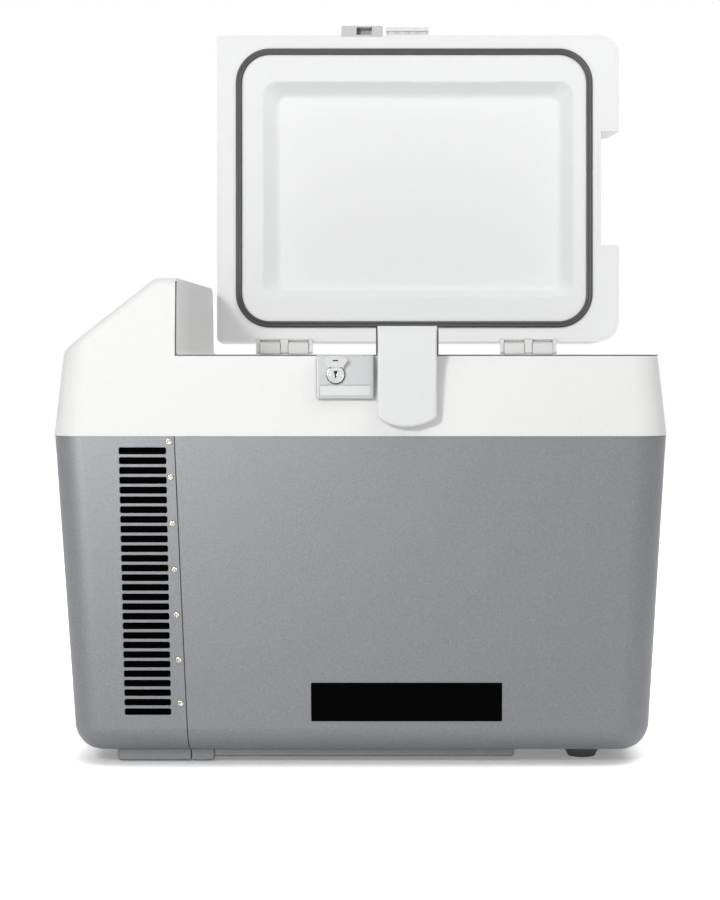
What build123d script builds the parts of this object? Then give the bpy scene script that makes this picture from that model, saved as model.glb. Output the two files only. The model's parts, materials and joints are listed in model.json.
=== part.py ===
from build123d import *
import math
import os

# Portable compressor cooler for vaccines: a tapered insulated box with a hinged top lid, a
# compressor compartment at its left end, and a control hump over that compartment.
# All lengths are in millimetres and all angles in degrees. +Z is up, +X runs to the right along
# the long front, and +Y runs to the back. The pieces are drawn with X and Y measured from the
# middle of the box and Z from the floor, and are set down at the end with the origin under the
# middle of the whole outline.

# ---------------------------------------------------------------- driving dimensions
# body
BELT_WIDTH = 581.0        # widest outline, at the belt where the white housing meets the grey tub
BELT_DEPTH = 367.0
BODY_Z = 13.5             # underside of the grey body
BELT_Z = 319.0
DECK_Z = 395.0            # top of the deck that the lid closes on
HUMP_Z = 467.0            # top of the control hump
LOWER_DRAFT_X = 0.042     # run of the grey walls for each unit of height
LOWER_DRAFT_Y = 0.08
UPPER_DRAFT_X = 0.108
UPPER_DRAFT_Y = 0.13
CORNER_R = 30.0           # upright corners
BOTTOM_R = 27.0           # edge round the underside
BELT_STEP = 0.6           # the tub stands back under the housing by this much
TUB_WALL = 3.5
COVER_WALL = 3.0
HOUSING_WALL = 3.0
FIT = 0.3                 # running and fitting clearance between separate mouldings
LEFT_X = -BELT_WIDTH / 2  # the belt's left and right ends and its front and back
RIGHT_X = BELT_WIDTH / 2
BELT_FRONT_Y = -BELT_DEPTH / 2
BELT_BACK_Y = BELT_DEPTH / 2

# hump
RIDGE_X = LEFT_X + 97.0   # where the sloped panel meets the flat top of the hump
SLOPE_ANGLE = 38.2
RIDGE_R = 16.0
HUMP_EDGE_R = 9.0
HUMP_WALL_X = LEFT_X + 117.9 # upright wall of the hump, beside the lid

# deck tray and its seal
TRAY_T = 2.5
RIM_W = 1.6               # width of the dark seal seen from above
RIM_H = 1.1               # height of the seal seen from the front
SEAL_END_DROP = 3.0       # the seal ends this far below the top of the hump

# compressor cover
SEAM_BELT_X = LEFT_X + 117.2
SEAM_LEAN = 0.0259        # the seam leans to the right going down
SEAM_GAP = 0.8
FLANGE_W = 12.0           # joggled flange of the tub behind the cover's edge
LOUVRE_COUNT = 28
LOUVRE_PITCH = 9.28
LOUVRE_TOP_Z = 305.2
LOUVRE_LEFT_X = LEFT_X + 64.5
LOUVRE_LENGTH = 44.5
LOUVRE_HEIGHT = 6.6
LOUVRE_END_R = 1.8
COVER_SCREW_INSET = 5.5
COVER_SCREW_Z = (314.0, 280.5, 236.5, 192.5, 149.0, 105.5, 63.0)
SCREW_HEAD_R = 3.0
SCREW_HEAD_H = 1.5
SCREW_SHANK_R = 1.5

# skids and feet
SKID_LEFT_X = LEFT_X + 52.5
SKID_STEP_X = LEFT_X + 147.5
SKID_RIGHT_X = RIGHT_X - 142.5
SKID_FRONT_Y = BELT_FRONT_Y + 51.5
SKID_W = 11.0
SKID_END_R = 4.0
SKID_DEEP_Z = 1.6
SKID_SHALLOW_Z = 5.4
FOOT_X = RIGHT_X - 74.5
FOOT_Y = BELT_BACK_Y - 88.5
FOOT_R = 16.5
FOOT_SOLE_R = 13.5
FOOT_DIMPLE_R = 4.5
FOOT_DIMPLE_H = 4.0

# cooling cavity
CAVITY_LEFT_X = LEFT_X + 172.5
CAVITY_RIGHT_X = RIGHT_X - 64.5
CAVITY_FRONT_Y = BELT_FRONT_Y + 60.7
CAVITY_BACK_Y = BELT_BACK_Y - 67.0
CAVITY_FLOOR_Z = 62.0
CAVITY_R = 22.0
CAVITY_FLOOR_R = 12.0
LINER_WALL = 1.5
LINER_FLANGE = 9.0
EVAPORATOR_T = 1.2
EVAPORATOR_LOW_Z = 84.0
EVAPORATOR_HIGH_Z = 250.0

# carrying grips
GRIP_MID_Y = -3.4
GRIP_LENGTH = 104.0
GRIP_SLOT_LEFT_X = RIGHT_X - 32.5
GRIP_SLOT_W = 17.0
GRIP_TALL = 48.0          # depth of the pocket below the deck
GRIP_BAR_H = 18.0
GRIP_WALL = 2.0
LEFT_GRIP_LOW_Z = 333.0
LEFT_GRIP_H = 34.0
LEFT_GRIP_DEPTH = 26.0

# lid, drawn closed and turned open at the end
LID_LEFT_X = HUMP_WALL_X + 3.2
LID_RIGHT_X = RIGHT_X - 13.8
LID_SETBACK = 7.2         # the hinge edge stands this far in front of the deck's back edge
LID_GAP = 3.0             # between the deck and the lid's inner face
LID_T = 46.0
LID_WALL = 3.0
LID_PANEL_T = 2.5
LID_TOP_FALL_RIGHT = 9.0  # how far the right side leans in over the lid's thickness
LID_TOP_FALL = 5.0        # the same at the front; the hinge side is upright
LID_RIGHT_R = 23.0
LID_LEFT_R = 4.0
LID_TOP_EDGE_R = 9.0
LID_OPEN_ANGLE = 94.3
NOTCH_FROM_HINGE = 106.8
NOTCH_LENGTH = 126.4
NOTCH_DEPTH = 19.8
DISH_LEFT_X = CAVITY_LEFT_X + 0.2
DISH_RIGHT_X = CAVITY_RIGHT_X + 0.4
DISH_FROM_HINGE = 50.0
DISH_FROM_FRONT = 51.6
DISH_DEPTH = 16.5
DISH_SIDE_RUN = 15.0
DISH_FRONT_RUN = 12.0
DISH_HINGE_RUN = 9.0
DISH_R = 14.0
DISH_FLOOR_R = 8.0
DISH_MOUTH_R = 3.0
GASKET_LEFT_X = LID_LEFT_X + 21.1
GASKET_RIGHT_X = LID_RIGHT_X - 29.2
GASKET_FROM_HINGE = 15.5
GASKET_FROM_FRONT = 15.0
GASKET_W = 6.8
GASKET_R = 38.0
GASKET_PROUD = 2.6
GASKET_FOOT_W = 3.2
GASKET_FOOT_H = 3.2

# hinges
HINGE_AXIS_BACK = 11.0    # from the lid's hinge edge to the hinge axis
HINGE_AXIS_UP = 3.4       # above the deck
HINGE_XS = (LID_LEFT_X + 74.9, LID_RIGHT_X - 100.5)
HINGE_WIDTH = 62.6
HINGE_BLOCK_W = 22.0
HINGE_EAR_W = 8.8
HINGE_PIN_R = 2.0
HINGE_KNUCKLE_R = 3.0
HINGE_BLOCK_R = 9.9
HINGE_BLOCK_BACK = 8.5
HINGE_LEAF_T = 3.0
HINGE_LEAF_DROP = 26.0
LID_LEAF_T = 2.0
LID_LEAF_H = 12.0
LID_LEAF_RISE = 1.5       # the leaf starts this far above the lid's inner face
RUN_GAP = 0.05            # radial clearance of a shaft in its hole

# lock
LATCH_MID_X = (LID_LEFT_X + LID_RIGHT_X) / 2 - 9.15
PLUG_X = LATCH_MID_X - 66.7
LOCK_LEFT_X = PLUG_X - 18.4
LOCK_WIDTH = 54.1
LOCK_HEIGHT = 41.0
LOCK_PROUD = 12.0         # in front of the deck's front edge
LOCK_WALL = 2.0
LOCK_EDGE_R = 1.9
STRIP_INSET = 3.5         # bare name strip, in from the box's sides
STRIP_DEPTH = 0.5
PLUG_DROP = 18.7          # below the deck
PLUG_R = 5.6
BARREL_R = 7.4
BARREL_FLANGE_R = 8.6
BARREL_FLANGE_T = 1.6
PLUG_PROUD = 0.2
KEYHOLE_W = 1.5           # the narrow foot of the keyhole
KEYHOLE_TOP_R = 1.75
KEYHOLE_HIGH = 4.2        # above and below the plug's centre
KEYHOLE_LOW = 2.8
KEYHOLE_DEPTH = 4.5
HOOK_R = 29.0
HOOK_W = 4.0
HOOK_T = 2.2
HOOK_ARM_W = 6.0
HOOK_GAP = 1.5
HOOK_FRONT = 7.8          # front face of the hook, in front of the deck's front edge
HOOK_LOW = -33.0
HOOK_HIGH = 35.0
SHUTTER_LENGTH = 13.9
SHUTTER_ROOT_W = 13.6
SHUTTER_TIP_W = 21.4
SHUTTER_T = 1.0
SHUTTER_OPEN = 150.0
SHUTTER_PIN_R = 0.7
SHUTTER_KNUCKLE_R = 1.4
SHUTTER_DROP = 13.6
SHUTTER_EAR_W = 1.6

# latch
LATCH_WIDTH = 55.3
LATCH_TOP = 26.6          # above the deck
LATCH_SIDE_DROP = 58.0    # below the deck
LATCH_ARC_DROP = 67.0
LATCH_PROUD = 20.0
LATCH_T = 3.0
LATCH_EDGE_R = 2.4
LATCH_BEVEL_H = 5.6
LATCH_BEVEL_D = 4.0
LATCH_LIP = 5.6
LATCH_LIP_Z = 17.0        # underside of the lip above the deck
LATCH_PIVOT_DROP = 36.0
LATCH_PIVOT_IN = 8.1      # from the flap's face to its pivot
LATCH_PIN_R = 1.5
LATCH_CHEEK_T = 2.2
LATCH_CHEEK_INSET = 1.4
SIDE_PLATE_T = 1.4
SIDE_PLATE_BACK = 1.6     # behind the flap's face
LUG_W = 4.0
CATCH_LEFT_X = LATCH_MID_X - 26.3
CATCH_RIGHT_X = LATCH_MID_X + 21.0
CATCH_PROUD = 9.0
CATCH_H = 13.0
CATCH_BAR = 4.2
CATCH_CELLS = 4
CATCH_RIB = 1.0
CATCH_CELL_DEPTH = 1.6
STRIKE_LEFT_X = PLUG_X - 9.0
STRIKE_RIGHT_X = PLUG_X + 36.9
STRIKE_PROUD = 10.4
STRIKE_T = 1.5
STRIKE_FLANGE_H = 16.0
STRIKE_HOLE_LEFT_X = PLUG_X + 7.7
STRIKE_HOLE_W = 17.0
KEEPER_H = 13.5           # box behind the strike's hole that the hook turns into
KEEPER_WALL = 1.0

# control panel
PANEL_LONG = 118.0
PANEL_WIDE = 58.0
PANEL_T = 1.5
PANEL_LEDGE = 6.0
WINDOW_LONG = 52.0
WINDOW_WIDE = 24.0
BUTTON_NAMES = ("power", "set", "down", "up")
BUTTON_PITCH = 26.0
BUTTON_R = 5.5
BUTTON_PROUD = 0.5
BUTTON_TRAVEL = 1.0

# cooling unit
BASE_PLATE_T = 2.0
PLATE_LEFT_X = LEFT_X + 40.5
PLATE_RIGHT_X = PLATE_LEFT_X + 68.0
PLATE_HALF_Y = BELT_BACK_Y - 61.5
PLATE_REST = 5.0          # overlap of the plate on the cover's floor
PORT_HALF_Y = 70.0        # half the length of the port in the cover's floor
COMPRESSOR_R = 39.0
COMPRESSOR_LENGTH = 150.0
COMPRESSOR_X = LEFT_X + 66.5
COMPRESSOR_MID_Y = -22.0
GROMMET_R = 6.5
GROMMET_H = 11.0
FAN_SIZE = 80.0
FAN_DEPTH = 25.0
FAN_BORE_R = 38.0
FAN_X = LEFT_X + 61.5
FAN_Z = 218.0
FAN_FRONT_Y = BELT_FRONT_Y + 44.5
ROTOR_R = 36.8
HUB_R = 17.0
BLADE_COUNT = 7
CONDENSER_W = 70.0
CONDENSER_H = 140.0
CONDENSER_DEPTH = 22.0
FIN_COUNT = 15
DRIVE_T = 32.0            # the compressor's drive unit on the bulkhead
DRIVE_LENGTH = 100.0
DRIVE_LOW_Z = 150.0
DRIVE_HIGH_Z = 230.0
DRIVE_FROM_BACK = 43.5
DRIVE_GROOVES = 9
DRIVE_FIN = 5.5
DRIVE_FIN_H = 8.0
DRIER_R = 9.0
DRIER_LOW_Z = 45.0
DRIER_HIGH_Z = 125.0
DRIER_FROM_PLATE = 27.0   # in front of the base plate's back end

OVERRUN = 30.0            # how far cutting forms run past the faces they cut
REACH = 420.0             # longer than any piece is wide

# ---------------------------------------------------------------- worked-out places
DECK_FRONT_Y = -(BELT_DEPTH / 2 - UPPER_DRAFT_Y * (DECK_Z - BELT_Z))
FRONT_Y = DECK_FRONT_Y                      # the closed lid's front edge lies flush with the deck's
HINGE_EDGE_Y = -DECK_FRONT_Y - LID_SETBACK
HINGE_Y = HINGE_EDGE_Y + HINGE_AXIS_BACK
HINGE_Z = DECK_Z + HINGE_AXIS_UP
LID_FACE_Z = DECK_Z + LID_GAP
DISH_FAR = HINGE_EDGE_Y - FRONT_Y - DISH_FROM_FRONT
GASKET_FAR = HINGE_EDGE_Y - FRONT_Y - GASKET_FROM_FRONT
LATCH_FACE_Y = FRONT_Y - LATCH_PROUD
LATCH_PIVOT_Y = LATCH_FACE_Y + LATCH_PIVOT_IN
LATCH_PIVOT_Z = DECK_Z - LATCH_PIVOT_DROP
PLUG_Z = DECK_Z - PLUG_DROP
LOCK_FACE_Y = FRONT_Y - LOCK_PROUD
BARREL_FACE_Y = LOCK_FACE_Y - BARREL_FLANGE_T
SHUTTER_Y = BARREL_FACE_Y - SHUTTER_KNUCKLE_R - 0.2
SHUTTER_Z = DECK_Z - SHUTTER_DROP
BASE_TOP_Z = BODY_Z + COVER_WALL + BASE_PLATE_T


# ---------------------------------------------------------------- helpers
def block(x0, x1, y0, y1, z0, z1):
    """A rectangular block between two corners."""
    return Pos((x0 + x1) / 2, (y0 + y1) / 2, (z0 + z1) / 2) * Box(x1 - x0, y1 - y0, z1 - z0)


def slab(z0, z1):
    """Everything between two heights."""
    return block(-REACH, REACH, -REACH, REACH, z0, z1)


def prism(plane, points, inset=0.0):
    """A long bar with the given outline on a plane, its sides moved in by inset."""
    face = make_face(Polyline(*points, close=True))
    if inset:
        face = offset(face, amount=-inset, kind=Kind.INTERSECTION)
    return extrude(plane * face, amount=REACH, both=True)


def bar_x(points, x0, x1):
    """An outline in Y and Z, extruded along X from x0 to x1."""
    return Pos(x0, 0, 0) * extrude(Plane.YZ * make_face(Polyline(*points, close=True)), amount=x1 - x0)


def rod_x(radius, x0, x1, y, z):
    """A round bar along X."""
    return Pos((x0 + x1) / 2, y, z) * Rot(0, 90, 0) * Cylinder(radius, x1 - x0)


def rod_y(radius, x, y0, y1, z):
    """A round bar along Y."""
    return Pos(x, (y0 + y1) / 2, z) * Rot(90, 0, 0) * Cylinder(radius, y1 - y0)


def rod_z(radius, x, y, z0, z1):
    """A round bar along Z."""
    return Pos(x, y, (z0 + z1) / 2) * Cylinder(radius, z1 - z0)


def plan(x0, x1, y0, y1, z, radius):
    """A rounded rectangle lying level at height z."""
    return Pos((x0 + x1) / 2, (y0 + y1) / 2, z) * RectangleRounded(x1 - x0, y1 - y0, radius)


def upright_edges(solid):
    """The long edges that stand nearly upright."""
    return [e for e in solid.edges() if abs((e @ 1 - e @ 0).Z) > 0.9 * e.length and e.length > CORNER_R]


def once_only(faces):
    """The edges that only one of the faces has."""
    seen = {}
    for edge in [e for f in faces for e in f.edges()]:
        mid = edge.center()
        seen.setdefault((round(mid.X, 2), round(mid.Y, 2), round(mid.Z, 2)), []).append(edge)
    return [edges[0] for edges in seen.values() if len(edges) == 1]


def group(pieces):
    """Separate solids kept together as one node."""
    return Compound(children=[solid for piece in pieces for solid in piece.solids()])


# ---------------------------------------------------------------- body forms
def lower_half_depth(z):
    """Half the depth of the grey body at a height."""
    return BELT_DEPTH / 2 - BELT_STEP - LOWER_DRAFT_Y * (BELT_Z - z)


def lower_half_width(z):
    """Half the width of the grey body at a height."""
    return BELT_WIDTH / 2 - BELT_STEP - LOWER_DRAFT_X * (BELT_Z - z)


def upper_half_depth(z):
    """Half the depth of the white housing at a height."""
    return BELT_DEPTH / 2 - UPPER_DRAFT_Y * (z - BELT_Z)


def upper_half_width(z):
    """Half the width of the white housing at a height."""
    return BELT_WIDTH / 2 - UPPER_DRAFT_X * (z - BELT_Z)


def lower_form(inset=0.0):
    """The grey body as a solid, tapering down, run on above the belt."""
    top = BELT_Z + OVERRUN
    wide = [(-lower_half_width(BODY_Z), BODY_Z), (lower_half_width(BODY_Z), BODY_Z),
            (lower_half_width(top), top), (-lower_half_width(top), top)]
    deep = [(-lower_half_depth(BODY_Z), BODY_Z), (lower_half_depth(BODY_Z), BODY_Z),
            (lower_half_depth(top), top), (-lower_half_depth(top), top)]
    form = prism(Plane.XZ, wide, inset) & prism(Plane.YZ, deep, inset)
    form = fillet(upright_edges(form), CORNER_R - inset)
    return fillet(form.faces().sort_by(Axis.Z)[0].edges(), BOTTOM_R - inset)


def slope_foot_z():
    """The height at which the sloped panel meets the left wall."""
    rise = math.tan(math.radians(SLOPE_ANGLE))
    wall_at_floor = BELT_WIDTH / 2 + UPPER_DRAFT_X * BELT_Z
    return (HUMP_Z - (wall_at_floor + RIDGE_X) * rise) / (1 - UPPER_DRAFT_X * rise)


def upper_form(inset=0.0):
    """The white housing as a solid as high as the hump all over, run on below the belt."""
    low = BELT_Z - OVERRUN
    foot = slope_foot_z()
    wide = [(-upper_half_width(low), low), (upper_half_width(low), low),
            (upper_half_width(HUMP_Z), HUMP_Z), (RIDGE_X, HUMP_Z), (-upper_half_width(foot), foot)]
    deep = [(-upper_half_depth(low), low), (upper_half_depth(low), low),
            (upper_half_depth(HUMP_Z), HUMP_Z), (-upper_half_depth(HUMP_Z), HUMP_Z)]
    form = prism(Plane.XZ, wide, inset) & prism(Plane.YZ, deep, inset)
    form = fillet(upright_edges(form), CORNER_R - inset)
    ridge = form.edges().filter_by(Axis.Y).sort_by_distance((RIDGE_X, 0, HUMP_Z))[0]
    form = fillet(ridge, RIDGE_R - inset)
    skin = [f for f in form.faces() if f.normal_at().Z > 0.5]
    return fillet(once_only(skin), HUMP_EDGE_R - inset)


def seam_x(z):
    """The place of the cover's seam at a height."""
    return SEAM_BELT_X + SEAM_LEAN * (BELT_Z - z)


def left_of_seam(shift=0.0):
    """Everything to the left of the seam, which is moved along X by shift."""
    low, high = -OVERRUN, BELT_Z + 2 * OVERRUN
    return prism(Plane.XZ, [(-REACH, low), (seam_x(low) + shift, low),
                            (seam_x(high) + shift, high), (-REACH, high)])


LOWER = lower_form()
LOWER_IN_COVER = lower_form(COVER_WALL)
LOWER_BEHIND_COVER = lower_form(COVER_WALL + FIT)
LOWER_IN_TUB = lower_form(TUB_WALL)
LOWER_IN_FLANGE = lower_form(COVER_WALL + FIT + TUB_WALL)
UPPER = upper_form()
UPPER_IN_RIM = upper_form(RIM_W)
UPPER_IN_WALL = upper_form(HOUSING_WALL)
SEAM = left_of_seam()
UNDER_BELT = slab(-OVERRUN, BELT_Z)


def skid(x0, x1, low, round_left=False, round_right=False):
    """A front and a back skid rail under the body, from x0 to x1, reaching down to a height."""
    front = block(x0, x1, SKID_FRONT_Y, SKID_FRONT_Y + SKID_W, low, BODY_Z)
    ends = front.edges().filter_by(Axis.Y).group_by(Axis.Z)[0].sort_by(Axis.X)
    rounded = ([ends[0]] if round_left else []) + ([ends[-1]] if round_right else [])
    front = fillet(rounded, SKID_END_R) if rounded else front
    front = fillet(front.edges().filter_by(Axis.X).group_by(Axis.Z)[0], 1.5)
    return front + mirror(front, about=Plane.XZ)


# ---------------------------------------------------------------- grey body
def screw_place(z, side):
    """Where a cover screw stands on the front (side -1) or back (side 1) face, axis outwards."""
    x = seam_x(z) - COVER_SCREW_INSET
    lean = math.degrees(math.atan(LOWER_DRAFT_Y))
    turn = 90 + lean if side < 0 else -90 - lean
    return Pos(x, side * lower_half_depth(z), z) * Rot(turn, 0, 0)


def cover_screw_places():
    return [screw_place(z, side) for side in (-1, 1) for z in COVER_SCREW_Z]


def make_tub_outer():
    flange = (LOWER_BEHIND_COVER & SEAM) - left_of_seam(-FLANGE_W)
    return ((LOWER - SEAM) + flange) & UNDER_BELT


def make_tub_inner():
    wide = LOWER_IN_TUB - left_of_seam(TUB_WALL)
    narrow = LOWER_IN_FLANGE - left_of_seam(TUB_WALL - FLANGE_W)
    return wide + narrow


def make_body_tub():
    tub = make_tub_outer() - make_tub_inner()
    tub += skid(seam_x(BODY_Z) + SEAM_GAP / 2, SKID_STEP_X, SKID_DEEP_Z, round_right=True)
    tub += skid(SKID_STEP_X, SKID_RIGHT_X, SKID_SHALLOW_Z, round_right=True)
    for place in cover_screw_places():
        tub -= place * Cylinder(SCREW_SHANK_R + RUN_GAP, 4 * OVERRUN / 3)
    return tub


def louvre_slots(side):
    """The cutters for one face's louvres."""
    start = lower_half_depth(BELT_Z) + OVERRUN / 3
    slots = []
    for i in range(LOUVRE_COUNT):
        z = LOUVRE_TOP_Z - i * LOUVRE_PITCH
        slot = Rectangle(LOUVRE_LENGTH, LOUVRE_HEIGHT)
        slot = fillet(slot.vertices(), LOUVRE_END_R)
        place = Plane(origin=(LOUVRE_LEFT_X + LOUVRE_LENGTH / 2, side * start, z),
                      x_dir=(1, 0, 0), z_dir=(0, -1, 0))
        slots.append(extrude(place * slot, amount=2 * OVERRUN, dir=(0, -side, 0)))
    return slots


def make_compressor_cover():
    cover = (LOWER - LOWER_IN_COVER) & left_of_seam(-SEAM_GAP) & UNDER_BELT
    cover += skid(SKID_LEFT_X, seam_x(BODY_Z) - SEAM_GAP / 2 - SEAM_GAP, SKID_DEEP_Z, round_left=True)
    cover -= block(PLATE_LEFT_X + PLATE_REST, PLATE_RIGHT_X - PLATE_REST, -PORT_HALF_Y, PORT_HALF_Y,
                   BODY_Z - OVERRUN, BODY_Z + OVERRUN)
    for side in (-1, 1):
        for slot in louvre_slots(side):
            cover -= slot
    for place in cover_screw_places():
        cover -= place * Cylinder(SCREW_SHANK_R + RUN_GAP, 4 * OVERRUN / 3)
    for inlet in INLETS:
        cover -= inlet_body(inlet, FIT)
    return cover


def make_cover_screws():
    """Pan-head screws down both edges of the cover."""
    head = Pos(0, 0, SCREW_HEAD_H / 2) * Cylinder(SCREW_HEAD_R, SCREW_HEAD_H)
    head = fillet(head.edges().group_by(Axis.Z)[-1], 1.1)
    reach = COVER_WALL + FIT + TUB_WALL - 0.2
    shank = Pos(0, 0, -reach / 2) * Cylinder(SCREW_SHANK_R, reach)
    return group([place * (head + shank) for place in cover_screw_places()])


def make_feet():
    """Round rubber feet, dished underneath for their screws."""
    outline = Polyline((FOOT_DIMPLE_R, 0), (FOOT_SOLE_R, 0), (FOOT_R, BODY_Z * 0.45), (FOOT_R, BODY_Z),
                       (0, BODY_Z), (0, FOOT_DIMPLE_H), (FOOT_DIMPLE_R, FOOT_DIMPLE_H), close=True)
    foot = revolve(Plane.XZ * make_face(outline), Axis.Z)
    return group([Pos(x, y, 0) * foot for x in (-FOOT_X, FOOT_X) for y in (-FOOT_Y, FOOT_Y)])


# ---------------------------------------------------------------- white housing, tray and seal
def grip_space():
    """The room for the fingers at the right-hand grip: a deck slot that opens into the side."""
    low = DECK_Z - GRIP_TALL
    y0, y1 = GRIP_MID_Y - GRIP_LENGTH / 2, GRIP_MID_Y + GRIP_LENGTH / 2
    slot = block(GRIP_SLOT_LEFT_X, GRIP_SLOT_LEFT_X + GRIP_SLOT_W, y0, y1, low, DECK_Z + OVERRUN)
    window = block(GRIP_SLOT_LEFT_X, BELT_WIDTH / 2 + OVERRUN, y0, y1, low, DECK_Z - GRIP_BAR_H)
    window = fillet(window.edges().filter_by(Axis.X), 8)
    return slot + window


def left_grip_space():
    """The pocket for the fingers in the left end."""
    y0, y1 = GRIP_MID_Y - GRIP_LENGTH / 2, GRIP_MID_Y + GRIP_LENGTH / 2
    wall = -upper_half_width(LEFT_GRIP_LOW_Z)
    low = LEFT_GRIP_LOW_Z
    space = block(wall - OVERRUN, wall + LEFT_GRIP_DEPTH, y0, y1, low, low + LEFT_GRIP_H)
    return fillet(space.edges().filter_by(Axis.X), 8)


def panel_plane(depth=0.0):
    """The sloped panel's plane, depth below its surface; its x runs to the front."""
    slope = math.radians(SLOPE_ANGLE)
    foot = slope_foot_z()
    mid = ((RIDGE_X - upper_half_width(foot)) / 2, 0, (HUMP_Z + foot) / 2)
    normal = (-math.sin(slope), 0, math.cos(slope))
    origin = tuple(m - depth * n for m, n in zip(mid, normal))
    return Plane(origin=origin, x_dir=(0, -1, 0), z_dir=normal)


def right_of(x, low):
    """Everything to the right of x and above a height."""
    return block(x, REACH, -REACH, REACH, low, HUMP_Z + OVERRUN)


def make_upper_housing():
    housing = (UPPER - UPPER_IN_WALL) & slab(BELT_Z, HUMP_Z + OVERRUN)
    housing -= right_of(HUMP_WALL_X - RIM_H, DECK_Z - RIM_H)
    housing -= UPPER_IN_RIM & right_of(HUMP_WALL_X - TRAY_T, DECK_Z - TRAY_T)
    housing -= grip_space()
    housing -= left_grip_space()
    recess = RectangleRounded(PANEL_LONG + FIT, PANEL_WIDE + FIT, 4)
    housing -= extrude(panel_plane() * recess, amount=-PANEL_T)
    through = RectangleRounded(PANEL_LONG - 2 * PANEL_LEDGE, PANEL_WIDE - 2 * PANEL_LEDGE, 2)
    housing -= extrude(panel_plane() * through, amount=-2 * HOUSING_WALL)
    return housing


def make_deck_tray():
    """Deck plate and hump wall in one, round the mouth of the cavity."""
    deck = slab(DECK_Z - TRAY_T, DECK_Z) & right_of(HUMP_WALL_X - TRAY_T, BELT_Z)
    wall = right_of(HUMP_WALL_X - TRAY_T, DECK_Z - TRAY_T) - right_of(HUMP_WALL_X, DECK_Z)
    tray = UPPER_IN_RIM & (deck + wall)
    tray += hump_cap()
    corner = tray.edges().filter_by(Axis.Y).sort_by_distance((HUMP_WALL_X, 0, DECK_Z))[0]
    tray = fillet(corner, 4)
    mouth = plan(CAVITY_LEFT_X, CAVITY_RIGHT_X, CAVITY_FRONT_Y, CAVITY_BACK_Y, DECK_Z, CAVITY_R)
    tray -= extrude(mouth, amount=-2 * TRAY_T)
    return tray - grip_space()


def hump_cap():
    """The tray's top edge, which runs over the end of the seal to the top of the hump."""
    low = HUMP_Z - SEAL_END_DROP
    strip = right_of(HUMP_WALL_X - RIM_H, low) - right_of(HUMP_WALL_X, low)
    return (UPPER - UPPER_IN_RIM) & strip


def make_rim_seal():
    """Dark strip in the joint between the housing and the tray."""
    deck = slab(DECK_Z - RIM_H, DECK_Z)
    zone = (deck & right_of(HUMP_WALL_X - RIM_H, BELT_Z)) + (
        right_of(HUMP_WALL_X - RIM_H, DECK_Z - RIM_H) - right_of(HUMP_WALL_X, DECK_Z - RIM_H))
    return ((UPPER - UPPER_IN_RIM) & zone) - hump_cap()


def make_right_grip():
    """Moulded cup that closes the foam off round the grip and stiffens its bar."""
    y0, y1 = GRIP_MID_Y - GRIP_LENGTH / 2 - GRIP_WALL, GRIP_MID_Y + GRIP_LENGTH / 2 + GRIP_WALL
    cup = block(GRIP_SLOT_LEFT_X - GRIP_WALL, REACH, y0, y1, DECK_Z - GRIP_TALL - GRIP_WALL, DECK_Z - TRAY_T)
    return (UPPER_IN_WALL & cup) - grip_space()


def make_left_grip():
    y0, y1 = GRIP_MID_Y - GRIP_LENGTH / 2 - GRIP_WALL, GRIP_MID_Y + GRIP_LENGTH / 2 + GRIP_WALL
    end = -upper_half_width(LEFT_GRIP_LOW_Z) + LEFT_GRIP_DEPTH + GRIP_WALL
    cup = block(-REACH, end, y0, y1, LEFT_GRIP_LOW_Z - GRIP_WALL, LEFT_GRIP_LOW_Z + LEFT_GRIP_H + GRIP_WALL)
    return (UPPER_IN_WALL & cup) - left_grip_space()


# ---------------------------------------------------------------- cavity
def cavity_plan(z, grow):
    """The cavity's outline at a height, grown by an amount."""
    return plan(CAVITY_LEFT_X - grow, CAVITY_RIGHT_X + grow, CAVITY_FRONT_Y - grow,
                CAVITY_BACK_Y + grow, z, CAVITY_R + grow)


def cavity_form(grow):
    """The cavity grown by an amount, with its rounded floor edge."""
    depth = DECK_Z - TRAY_T - CAVITY_FLOOR_Z + grow
    form = extrude(cavity_plan(DECK_Z - TRAY_T, grow), amount=-depth)
    return fillet(form.faces().sort_by(Axis.Z)[0].edges(), CAVITY_FLOOR_R + grow)


def liner_flange():
    top = DECK_Z - TRAY_T
    return extrude(cavity_plan(top, LINER_FLANGE), amount=-LINER_WALL)


def make_inner_liner():
    return (cavity_form(LINER_WALL) + liner_flange()) - cavity_form(0)


def evaporator_zone(grow):
    return extrude(cavity_plan(EVAPORATOR_HIGH_Z, grow), amount=EVAPORATOR_LOW_Z - EVAPORATOR_HIGH_Z)


def make_evaporator():
    """Sheet evaporator wrapped round the liner inside the foam."""
    return evaporator_zone(LINER_WALL + EVAPORATOR_T) - evaporator_zone(LINER_WALL)


def make_insulation():
    """Foam poured between the tub, the housing and the liner."""
    low = make_tub_inner() & UNDER_BELT
    high = UPPER_IN_WALL & right_of(HUMP_WALL_X - TRAY_T, BELT_Z) & slab(BELT_Z, DECK_Z - TRAY_T)
    grip = block(GRIP_SLOT_LEFT_X - GRIP_WALL, REACH, GRIP_MID_Y - GRIP_LENGTH / 2 - GRIP_WALL,
                 GRIP_MID_Y + GRIP_LENGTH / 2 + GRIP_WALL, DECK_Z - GRIP_TALL - GRIP_WALL, DECK_Z)
    foam = (low + high) - cavity_form(LINER_WALL) - liner_flange()
    foam -= evaporator_zone(LINER_WALL + EVAPORATOR_T)
    return foam - grip


def make_probe():
    """Temperature probe in its clip on the liner's left wall."""
    x, y, z = CAVITY_LEFT_X, (CAVITY_FRONT_Y + CAVITY_BACK_Y) / 2, CAVITY_FLOOR_Z + 60
    base = block(x, x + 2, y - 9, y + 9, z - 16, z + 16)
    bulb = rod_z(3, x + 4.4, y, z - 22, z + 22)
    bulb = fillet(bulb.edges(), 1.4)
    return base + bulb


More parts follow.
